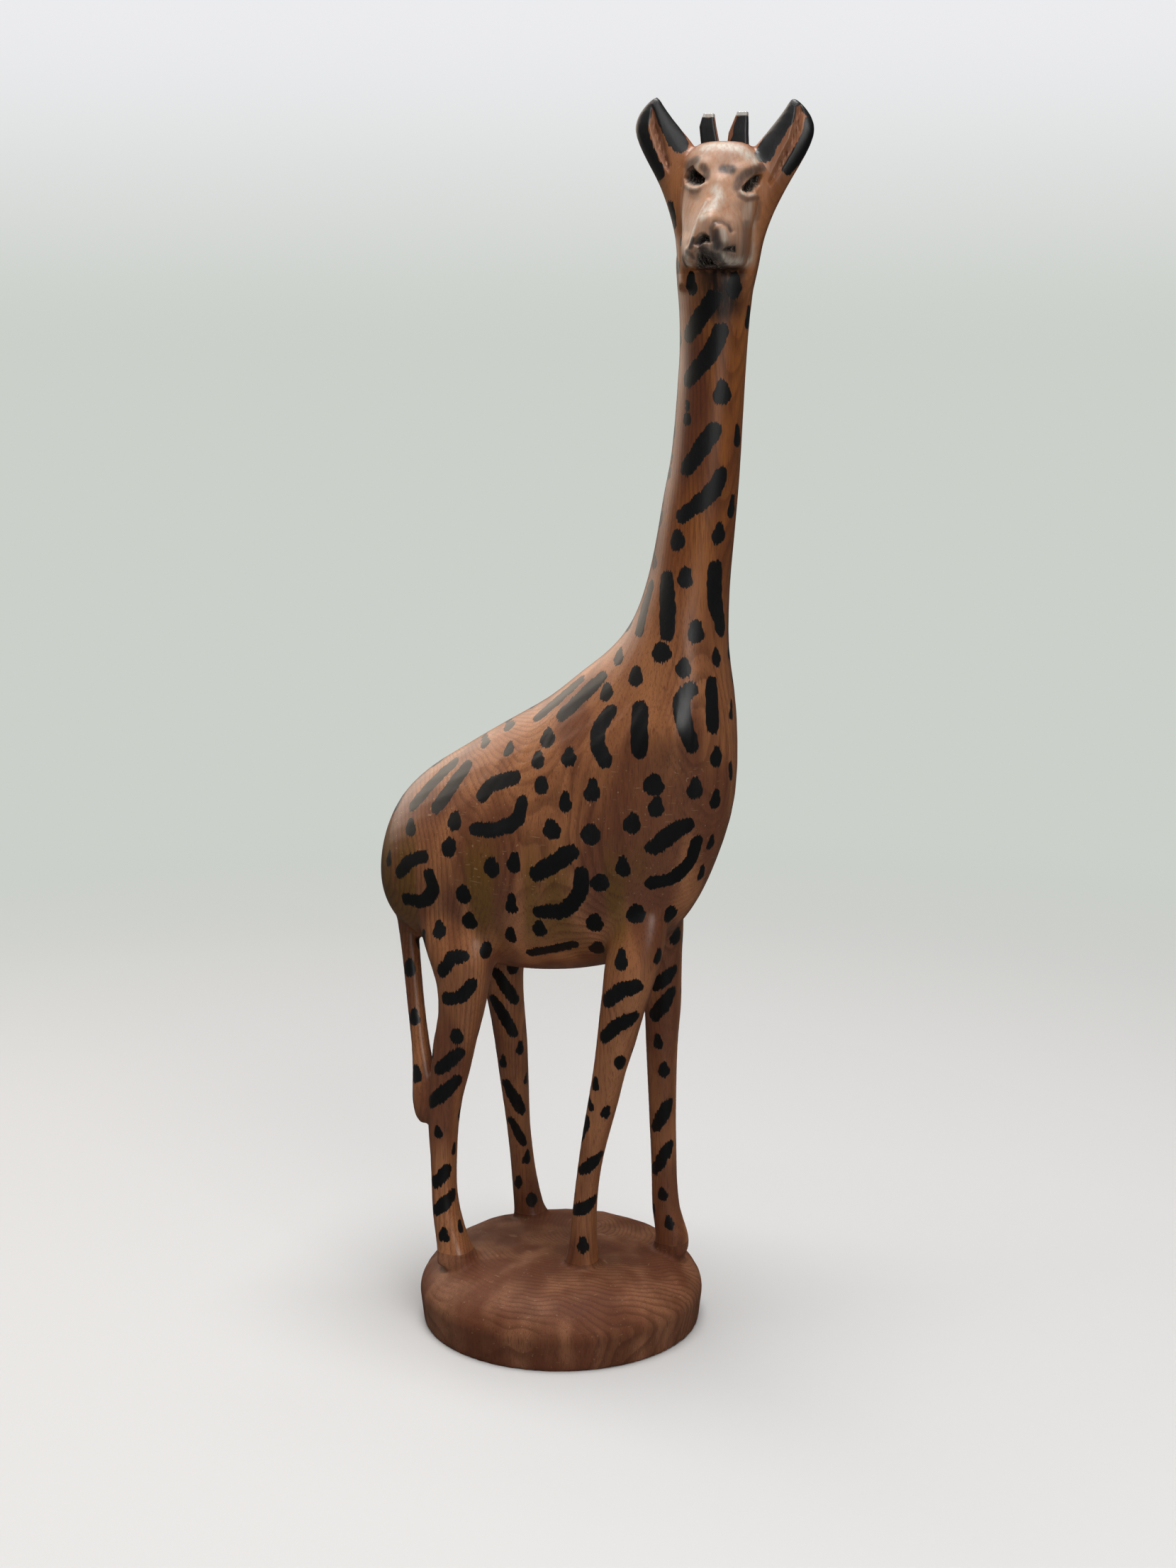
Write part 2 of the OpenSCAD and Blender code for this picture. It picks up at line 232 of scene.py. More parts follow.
face = {
    # height, middle forward, half width, half depth
    "line": [
        (442.4, 4, 10.2, 15.4), (444, 6.4, 11.7, 18.6), (447, 8.4, 12.6, 20.8), (451, 8.8, 13, 21),
        (457, 8.2, 13.4, 20.2), (464, 5.9, 14.4, 17.6), (472, 3.6, 15, 14.6), (480, 2.3, 14.6, 11.9),
        (486, 1.9, 12.6, 9.1), (489.4, 1.9, 9.4, 5.7), (490.4, 1.9, 5, 2.7),
    ],
    "square": 2.3,
    "steps": 3,
    "ringPoints": 40,
}
ear = {
    # outer edge u, z, inner edge u, z, half thickness
    "rails": [
        (14.4, 436, 4, 436, 9), (15.7, 444, 4, 448, 9), (17.1, 454, 4, 460, 8.4),
        (20.2, 464, 5, 472, 7.4), (24.8, 474.5, 7.5, 482, 6.4), (30.6, 485, 12, 489.6, 5),
        (33.6, 491.6, 15.6, 494, 4.2), (34.4, 496.4, 19.4, 498.6, 3.6), (32.8, 501, 22.6, 502.8, 2.8),
        (29.6, 505, 24.8, 506.2, 1.8), (27.2, 506.9, 25.8, 507.4, 0.8),
    ],
    "square": 2.4,
    "steps": 3,
    "ringPoints": 32,
    "drop": 1.2,      # the left ear sits lower
    "dropFrom": 464,
    "dropOver": 30,
    "cutPlace": (17.4, 479.5),
    "cutTurn": math.radians(53),
}
baseForm = {
    "footRadius": 59.5, "radius": 61, "wideZ": 13, "height": 32.5,
    "round": 0.45, "rise": 1.1, "steps": 12, "ringPoints": 96, "crownRadius": 2,
}
cuts = {"foot": 34, "leg": 153.6, "neck": 330, "head": 441, "hock": -48.5}
carving = {
    "voxel": 0.87 * mm,
    "smoothSteps": 5,
    "smoothFactor": 0.5,
    "meltSteps": 52,  # how far the tops of the legs melt into the body
    "meltFactor": 0.6,
    "meltFrom": (143, 156),
    "meltTo": (195, 215),
    "tailRoot": -65,  # the tail's root stays as it is
    "tailClear": (6, 12),
    "crumb": 500,     # a loose scrap with fewer points is dropped
    "creaseAngle": 50,
}


def leanAt(z):
    return -max(0, headFrame["leanFrom"] - z) * headFrame["lean"]


def setInHead(form):  # from the head's own frame to the body's
    pick(form)
    form.rotation_euler.z = headFrame["turn"]
    form.location.x = headFrame["x"] * mm
    bpy.ops.object.transform_apply(location=True, rotation=True, scale=True)


def earRails(side):
    rails = []
    for outerU, outerZ, innerU, innerZ, half in ear["rails"]:
        outerDrop, innerDrop = (
            ear["drop"] * max(0, min(1, (z - ear["dropFrom"]) / ear["dropOver"])) if side > 0 else 0
            for z in (outerZ, innerZ)
        )
        rails.append((side * outerU + leanAt(outerZ), outerZ - outerDrop,
                      side * innerU + leanAt(innerZ), innerZ - innerDrop, half))
    return rails


def latheBase(shape):
    outline = [(shape["footRadius"], 0), (shape["radius"], shape["wideZ"])]
    for i in range(1, shape["steps"]):
        a = 0.5 * math.pi * i / shape["steps"]
        climb = (shape["height"] - shape["wideZ"]) * math.sin(a) ** shape["rise"]
        outline.append((shape["radius"] * math.cos(a) ** shape["round"], shape["wideZ"] + climb))
    outline.append((shape["crownRadius"], shape["height"]))
    sections = [((0, 0, z), r, r, 0) for r, z in outline]
    return growForm("base", sections, shape["ringPoints"])


def carveBlock():
    rails = finer(trunk["rails"], trunk["steps"])
    sections = [railSection(s) for s in rails]
    forms = [growForm("block", sections, trunk["ringPoints"], trunk["square"], trunk["narrow"])]
    for name, line in legLines.items():
        square = legShape["tailSquare"] if name == "tail" else legShape["square"]
        sections = [levelSection(s) for s in finer(line, legShape["steps"])]
        forms.append(growForm(name, sections, legShape["ringPoints"], square))
    sections = [((leanAt(s[0]), -s[1], s[0]), s[2], s[3], 0) for s in finer(face["line"], face["steps"])]
    faceForm = growForm("face", sections, face["ringPoints"], face["square"])
    setInHead(faceForm)
    forms.append(faceForm)
    for side in (-1, 1):
        sections = [railSection(s) for s in finer(earRails(side), ear["steps"])]
        earForm = growForm("ear", sections, ear["ringPoints"], ear["square"])
        setInHead(earForm)
        forms.append(earForm)
    forms.append(latheBase(baseForm))
    pick(*forms)
    bpy.ops.object.join()
    block = bpy.context.object
    applyModifier(block, "REMESH", mode="VOXEL", voxel_size=carving["voxel"])
    applyModifier(block, "SMOOTH", factor=carving["smoothFactor"], iterations=carving["smoothSteps"])
    x, _, z = points(block).T / mm
    share = np.interp(z, carving["meltFrom"], (0, 1)) * np.interp(z, carving["meltTo"], (1, 0))
    share *= np.interp(abs(x - carving["tailRoot"]), carving["tailClear"], (0, 1))
    melt = block.vertex_groups.new(name="melt")
    for i in np.where(share > 0.01)[0]:
        melt.add([int(i)], share[i], "REPLACE")
    applyModifier(block, "SMOOTH", factor=carving["meltFactor"], iterations=carving["meltSteps"],
                  vertex_group="melt")
    block.vertex_groups.clear()
    print("carving:", len(block.data.polygons), "faces")
    return block


block = carveBlock()

toolMarks = {
    "knife": 0.2 * mm,        # how deep the long knife flats go
    "knifeScale": (70, 70, 16),
    "bodyShare": 0.45,        # the body's flats are this much of the legs'
    "chisel": 0.45 * mm,      # scoops left on the top of the base
    "topFacing": 0.35,
    "scoops": 230,
    "scoopReach": 7 * mm,
    "seed": 11,
}


def lineDistance(u, z, line):
    gap = np.full(len(u), 1e3)
    for (u0, z0), (u1, z1) in zip(line, line[1:]):
        du, dz = u1 - u0, z1 - z0
        t = np.clip(((u - u0) * du + (z - z0) * dz) / (du * du + dz * dz), 0, 1)
        gap = np.minimum(gap, np.hypot(u - u0 - t * du, z - z0 - t * dz))
    return gap


ridge = {  # the flank swells along this line, turning the wood above it upwards
    "line": [(-52, 228), (-45, 236), (-22, 249), (-1, 251), (16, 260), (29, 266), (42, 264)],
    "side": 25,             # the line as seen from here
    "reach": 12,
    "height": 4 * mm,
    "outward": 1.6,         # it comes on as the wood turns outwards
    "endFade": (1.3, 2.2),  # and dies where the wood turns to the chest or rump
}


def swellFlanks(piece, shape):
    places, facing = points(piece), normals(piece)
    c, s = math.cos(math.radians(shape["side"])), math.sin(math.radians(shape["side"]))
    full, fade = shape["endFade"]
    for side in (-1, 1):
        u = (places[:, 0] * c - side * places[:, 1] * s) / mm
        out = np.clip(side * facing[:, 1] * shape["outward"], 0, 1)
        swell = np.exp(-(lineDistance(u, places[:, 2] / mm, shape["line"]) / shape["reach"]) ** 2)
        swell *= np.clip(full - abs(facing @ np.array((c, -side * s, 0))) * fade, 0, 1)
        places = places + facing * (shape["height"] * swell * out)[:, None]
    setPoints(piece, places)


swellFlanks(block, ridge)


def leaveToolMarks(piece, tool):
    places, facing = points(piece), normals(piece)
    scale = Vector(tool["knifeScale"])
    flats = np.array([noise.noise(Vector(p) * scale) for p in places])
    low = places[:, 2] < cuts["leg"] * mm
    onBase = places[:, 2] < (cuts["foot"] - 1) * mm
    depth = flats * tool["knife"] * np.where(low & ~onBase, 1.0, tool["bodyShare"])
    depth[onBase] = 0
    random.seed(tool["seed"])
    tops = np.where(onBase & (facing[:, 2] > tool["topFacing"]))[0]
    scoops = kdtree.KDTree(tool["scoops"])
    for i in range(tool["scoops"]):
        scoops.insert(places[random.choice(tops)], i)
    scoops.balance()
    for i in tops:
        near, _, gap = scoops.find(places[i])
        depth[i] -= tool["chisel"] * max(0, 1 - (gap / tool["scoopReach"]) ** 2) * min(1, facing[i, 2])
    setPoints(piece, places + facing * depth[:, None])


leaveToolMarks(block, toolMarks)
surface = BVHTree.FromObject(block, bpy.context.evaluated_depsgraph_get())

# brush marks as seen square-on: place along the view's right-hand direction, height
brush = {
    "side": 25,
    "start": -300,           # how far before the carving a stroke sets out
    "dot": 3.15,             # half width of a plain dot
    "tall": 1.0,             # how far a plain dot is drawn up and down from its middle
    "least": 0.4,            # every dot is drawn this much further, and leans by as much
    "dotSteps": 3,
    "step": 0.6,
    "headSteps": 10,
    "dotWidth": (1.18, 0.5),  # starts wide and thins
    "barWidth": (0.9, 0.12),  # swells in its middle
    "reach": 6,              # distances beyond this don't count
    "shift": 1.5,            # how far the marks of the other side stray
    "apart": 8.5 * mm,
    "seed": 3,
}
neckMarks = {  # a dot may add its own half width and height, a bar its half width
    "dots": [
        (51, 438, 2.3, 2.2), (67, 437.5, 2.9, 1.9), (63, 397, 3.3, 1.5), (49.5, 388.5, 1.9, 2.9),
        (73, 425.5, 2.6, 2), (73.5, 412, 1.8, 2.6), (69.5, 380, 2.4, 2), (67.5, 352.5, 2.4, 2),
        (62.5, 342.5, 2.9, 1.4), (46, 340, 3, 1.2), (42.5, 368.5, 1.6, 3), (37.5, 331.5, 2, 2),
    ],
    "bars": [
        ([(59, 432), (50, 418)], 3.6), ([(62, 419.5), (58.5, 412), (50, 401)], 3.5),
        ([(60, 382), (49.5, 367)], 3.5), ([(63, 365), (59.5, 358.5), (48, 348.5)], 3.3),
    ],
}
shoulderMarks = {
    "dots": [
        (49, 325.5, 2.7, 1.4), (53.5, 304.5, 3.2, 1.5), (40, 296, 3.8, 0.3), (62, 293.5, 2.6, 1.2),
        (48.5, 290.5, 2.7, 1.2), (23.5, 292, 2.6, 1), (30, 286), (18.5, 278.5, 2.8, 1),
        (68.5, 271, 1.8, 2), (68.5, 247, 1.8, 2), (62, 254.5, 2.8, 1.4), (62, 237, 2.5, 1.6),
    ],
    "bars": [
        ([(42, 324), (42.3, 303)], 3.7), ([(61, 328), (61.5, 315), (64, 304)], 4),
        ([(36, 320), (33.5, 311), (31.5, 302.5)], 2.9), ([(-9, 264.5), (8, 280)], 2.9),
        ([(1, 267), (16.5, 282.5)], 3.4), ([(20, 270.5), (15.8, 264), (15.2, 257), (18, 251.5)], 3.5),
        ([(31.5, 273), (31.2, 256.5)], 3.8), ([(51.5, 281), (47.8, 277), (49, 267.5), (52.3, 259)], 3.5),
        ([(60, 283), (60.5, 266)], 3.5),
    ],
}
flankMarks = {
    "dots": [
        (-21, 260, 2.5, 0.6), (-31, 252.5, 2.2, 0.6), (-21, 252, 2.2, 0.8), (-5, 258.5),
        (-9, 250, 2.8, 0.8), (3.5, 252.5, 3, 0.9), (-7.5, 240.5, 2.9, 0.9), (12.5, 240, 3, 1.5),
        (2, 234.5, 2.6, 1.4), (37, 244, 3.6, 0.7), (53.5, 242.5, 2.9, 1.4), (38, 235, 2.9, 1.2),
        (28.5, 228, 3.2, 0.8), (-3.5, 223, 3.4, 0.9), (12, 222.5, 3.7, 0.7), (-28, 205),
        (-19, 208, 2.8, 1.6), (25, 209.5, 2.7, 1.6), (16, 202.5, 3.3, 0.5), (30.5, 189.5, 3.5, 0.9),
        (44.5, 188, 3, 1), (14, 184.5, 3.2, 1), (-8.5, 180, 2.8, 0.9), (-20, 190, 2.4, 2),
        (-20.5, 175.5, 2.3, 1.6), (60.5, 218.5, 1.9, 1.4), (57, 205, 2, 1.4), (15, 172, 3, 0.5),
        (24.5, 170.5, 2.7, 1.6), (39.5, 171.5, 2.5, 1), (48, 173.5),
    ],
    "bars": [
        ([(37, 217), (44, 223), (50.5, 226.5)], 3.7), ([(-9.5, 203.5), (4.5, 213.5)], 3.7),
        ([(-12.5, 166.5), (5.5, 172.5)], 2.4), ([(36.5, 202), (46, 204.5), (52, 211), (54.5, 219)], 3.2),
        ([(-8.5, 187), (1, 188.5), (7.5, 196), (8.5, 205)], 3.4),
    ],
}
rumpMarks = {
    "dots": [
        (-62.5, 216, 2.7, 1), (-43.5, 222, 3.3, 0.7), (-46, 211, 3.4, 0.5), (-72.5, 201, 1.8, 1.4),
        (-40, 192, 3.2, 0.9), (-37.5, 180.5, 3, 1), (-50.5, 175, 2.7, 1), (-57.5, 170.5, 1.8, 1),
        (-31, 167.5, 2.6, 1),
    ],
    "bars": [
        ([(-61.5, 224), (-52, 235), (-44.5, 242)], 3.3), ([(-51, 225.5), (-39, 242)], 3.6),
        ([(-32, 232.5), (-27.5, 237.5), (-18.5, 241)], 3.4),
        ([(-35, 219), (-26, 220), (-18, 224.5), (-15.5, 232)], 3.2),
        ([(-67.5, 195.5), (-63.5, 201), (-57, 204.5)], 3),
        ([(-65, 184.5), (-57.5, 185.5), (-53, 191), (-54.5, 197.5)], 3.2),
    ],
}
hindRightMarks = {
    "dots": [
        (-43.5, 130.5, 2.6, 0.8), (-52, 87, 1.8, 1), (-45.5, 78.5, 1.6, 1), (-50, 42.5, 2.3, 1),
        (-43, 45, 1.8, 0.8), (-65, 152.5, 2.4, 1.4), (-62.5, 132, 2.2, 1.2), (-61.5, 109, 2.3, 1.4),
    ],
    "bars": [
        ([(-49.5, 157), (-45.5, 163), (-40.5, 165)], 3),
        ([(-47.5, 145.5), (-41.5, 147.5), (-37, 152.5)], 3.1), ([(-51.5, 114), (-42.5, 122)], 2.9),
        ([(-55, 99), (-43.5, 109.5)], 3), ([(-53.5, 63.5), (-48, 70)], 2.7),
        ([(-53, 52), (-46, 58.5)], 2.9),
    ],
}
frontRightMarks = {
    "dots": [
        (24.5, 126, 2.6, 0.8), (14, 115.5, 1.7, 1.4), (18.5, 103.5, 1.9, 1), (12, 106, 1.6, 1),
        (9, 43.5, 2.5, 1), (3.5, 47, 1.6, 0.8),
    ],
    "bars": [
        ([(19, 152), (25, 157.5), (30.5, 159.5)], 3.3), ([(18, 136), (24, 142.5), (30, 145.5)], 3),
        ([(8.5, 76), (16.5, 82.5)], 2.7), ([(6, 57.5), (14, 62)], 2.8),
    ],
}
hindLeftMarks = {
    "dots": [
        (-20, 151), (-17.5, 112.5, 2.2, 1), (-25.5, 106, 1.8, 1), (-15.5, 97, 1.6, 1), (-15, 61, 2, 1),
        (-19, 49.5, 1.9, 1), (-13, 41.5, 2.6, 0.6),
    ],
    "bars": [
        ([(-28, 147), (-19.5, 134)], 2.7), ([(-29, 134), (-20.5, 119.5)], 2.6),
        ([(-24, 95), (-17, 82.5)], 2.7), ([(-22, 78), (-16.5, 67.5)], 2),
    ],
    "start": 12,
}
frontLeftMarks = {
    "dots": [
        (41, 126, 2, 1), (43.5, 113.5, 2.4, 1), (43.5, 57, 1.9, 1), (46.5, 44.5, 1.9, 1),
    ],
    "bars": [
        ([(40, 150.5), (47, 157)], 2.9), ([(39.5, 137), (46.5, 147.5)], 3),
        ([(40, 86.5), (46, 97.5)], 2.8), ([(40, 67), (46.5, 78.5)], 2.7),
    ],
    "start": -14,
}


def viewPlane(side, aboutX=0):  # a place on it, its right-hand direction and the way it is looked at
    c, s = math.cos(math.radians(side)), math.sin(math.radians(side))
    return Vector((aboutX, 0, 0)), Vector((c, s, 0)), Vector((-s, c, 0))


headSide = math.degrees(headFrame["turn"])
headView = [np.array(way) for way in viewPlane(headSide)]


def layStroke(line, half, steps, side=brush["side"], start=brush["start"], aboutX=0):
    about, right, away = viewPlane(side, aboutX)
    samples = []
    for u, z in finer(line, steps):
        place = (about + right * u + away * start + Vector((0, 0, z))) * mm
        hit = surface.ray_cast(place, away)[0]  # the stroke drops onto the carving
        samples.append(hit or surface.find_nearest(place - away * start * mm)[0])
    return samples, half


def layMarks(marks):
    strokes = []
    start = marks.get("start", brush["start"])
    for dot in marks["dots"]:
        u, z = dot[:2]
        half, tall = dot[2:] or (brush["dot"], brush["tall"])
        tall += brush["least"]
        lean = random.uniform(-brush["least"], brush["least"])
        line = [(u, z - tall), (u + lean, z + tall)]
        strokes.append(layStroke(line, half, brush["dotSteps"], start=start))
    for line, half in marks["bars"]:
        reach = math.dist(line[0], line[-1])
        steps = int(reach / brush["step"] / (len(line) - 1)) + 3
        strokes.append(layStroke(line, half, steps, start=start))
    return strokes


def legMiddle(name, z):
    line = legLines[name]
    heights = [s[0] for s in line]
    return Vector([np.interp(z, heights, [s[k] for s in line]) for k in (1, 2)] + [0])


def otherSide(strokes, fromLeg=None, toLeg=None):  # the same brushwork on the flank or leg across
    twins = []
    most = brush["shift"]
    for samples, half in strokes:
        shift = Vector((random.uniform(-most, most), 0, random.uniform(-most, most))) * mm
        if fromLeg:
            shift.x = 0
        twin = []
        for p in samples:
            place = Vector((p.x, -p.y, p.z)) + shift
            if fromLeg:
                offset = p / mm - legMiddle(fromLeg, p.z / mm)
                place = (legMiddle(toLeg, p.z / mm) + Vector((offset.x, -offset.y, offset.z))) * mm + shift
            twin.append(surface.find_nearest(place)[0])
        twins.append((twin, half))
    return twins


filler = {
    "seed": 5,
    "tries": 6000,
    "gap": 10.5 * mm,
    "gapSpread": (0.8, 1.15),
    "lowest": 38 * mm,
    "highest": 470 * mm,
    "facing": 0.1,         # how far the wood has to turn from the known side
    "shy": 450 * mm,       # and further than that above this height
    "shyFacing": -0.35,
    "bars": 0.28,          # share of bars among the dots
    "barReach": (4.5, 7),
    "barPoints": 9,
    "slant": (0.5, 1.1),
    "widthSpread": (0.9, 1.05),
}


def fillRest(strokes, rule):  # dots and short bars where the known strokes leave the wood bare
    random.seed(rule["seed"])
    places, facing = points(block), normals(block)
    toward = -viewPlane(brush["side"])[2]
    taken = [np.array(p) for samples, _ in strokes for p in samples]
    for _ in range(rule["tries"]):
        i = random.randrange(len(places))
        place, out = Vector(places[i]), Vector(facing[i])
        hidden = out.dot(toward) < rule["facing" if place.z < rule["shy"] else "shyFacing"]
        if not hidden or not rule["lowest"] < place.z < rule["highest"]:
            continue
        gap = rule["gap"] * random.uniform(*rule["gapSpread"])
        if np.min(np.linalg.norm(np.array(taken) - places[i], axis=1)) < gap:
            continue
        up = (Vector((0, 0, 1)) - out * out.z).normalized()
        across = out.cross(up)
        slant = random.choice((-1, 1)) * random.uniform(*rule["slant"])
        bar = random.random() < rule["bars"]
        reach = (random.uniform(*rule["barReach"]) if bar else brush["tall"]) * mm
        way = (up + across * slant * bar).normalized()
        steps = np.linspace(-1, 1, rule["barPoints"] if bar else brush["dotSteps"])
        samples = [surface.find_nearest(place + way * reach * float(step))[0] for step in steps]
        strokes.append((samples, brush["dot"] * random.uniform(*rule["widthSpread"])))
        taken.extend(np.array(p) for p in samples)
    return strokes


def clearOf(strokes, known, gap):
    taken = kdtree.KDTree(sum(len(s) for s, _ in known))
    for i, p in enumerate(p for samples, _ in known for p in samples):
        taken.insert(p, i)
    taken.balance()
    return [s for s in strokes if min(taken.find(p)[2] for p in s[0]) > gap]


def paintPlan():
    random.seed(brush["seed"])
    body = [s for marks in (neckMarks, shoulderMarks, flankMarks, rumpMarks) for s in layMarks(marks)]
    hindRight, frontRight = layMarks(hindRightMarks), layMarks(frontRightMarks)
    known = body + hindRight + frontRight + layMarks(hindLeftMarks) + layMarks(frontLeftMarks)
    across = otherSide(body) + otherSide(hindRight, "legHindRight", "legHindLeft")
    across += otherSide(frontRight, "legFrontRight", "legFrontLeft")
    strokes = known + clearOf(across, known, brush["apart"])
    return fillRest(strokes, filler)


# marks on the head, as seen from where the face looks: across, height, half width
headMarks = [
    ([(-19.9, 467), (-18.3, 459.6)], 1.9),  # below the ear
]
earMarks = [
    ([(-27, 506), (-30.6, 500.5), (-31.8, 495), (-30.2, 489), (-27.4, 483.5), (-24.9, 478.6)], 3.3),
    ([(-25.4, 505), (-21.9, 499.2), (-18.8, 493.8), (-16.6, 489.4)], 3.9),
    ([(29.4, 505), (33, 500), (33.4, 494), (31, 488.4), (27.6, 483), (25.4, 480.4)], 3.2),
    ([(26.4, 504.6), (22.8, 498.4), (19.3, 492.6), (16.6, 487.4), (15.6, 485)], 3.8),
]


def headPlan():
    lines = [(line, half, headSide) for line, half in headMarks]
    for line, half in earMarks:  # the ear margins are black behind as well
        lines += [(line, half, headSide), ([(-u, z) for u, z in line], half, headSide + 180)]
    steps, aboutX = brush["headSteps"], headFrame["x"]
    return [layStroke(line, half, steps, side, aboutX=aboutX) for line, half, side in lines]


def paintDistance(piece, strokes):
    wide, thins = brush["dotWidth"]
    slim, swells = brush["barWidth"]
    tree = kdtree.KDTree(sum(len(samples) for samples, _ in strokes))
    halves = []
    for samples, half in strokes:
        for k, p in enumerate(samples):
            tree.insert(p, len(halves))
            t = k / max(1, len(samples) - 1)
            isDot = len(samples) <= brush["dotSteps"] + 1
            halves.append(half * (wide - thins * t if isDot else slim + swells * math.sin(math.pi * t)))
    tree.balance()
    values = np.full(len(piece.data.vertices), float(brush["reach"]))
    ends = np.zeros(len(values))  # 1 straight above or below a stroke, 0 beside it
    for i, place in enumerate(points(piece)):
        for near, j, gap in tree.find_n(place, 3):
            if gap / mm - halves[j] < values[i]:
                values[i] = gap / mm - halves[j]
                ends[i] = abs(place[2] - near.z) / max(gap, 0.1 * mm)
    setAttribute(piece, "paint", values)
    setAttribute(piece, "paintEnd", ends)


bodyStrokes = paintPlan()
paintDistance(block, bodyStrokes)
print("brush strokes:", len(bodyStrokes))


def sliceOff(piece, place, direction, fill=True):  # keeps the side that the direction points to
    pick(piece)
    editMode(True)
    bpy.ops.mesh.select_all(action="SELECT")
    bpy.ops.mesh.bisect(plane_co=place, plane_no=direction, use_fill=fill, clear_inner=True)
    editMode(False)


def takePart(source, name, planes, fill=True):
    part = copyOf(source, name)
    for place, direction in planes:
        sliceOff(part, place, direction, fill)
    return part


def above(z):
    return (0, 0, z * mm), (0, 0, 1)


def below(z):
    return (0, 0, z * mm), (0, 0, -1)


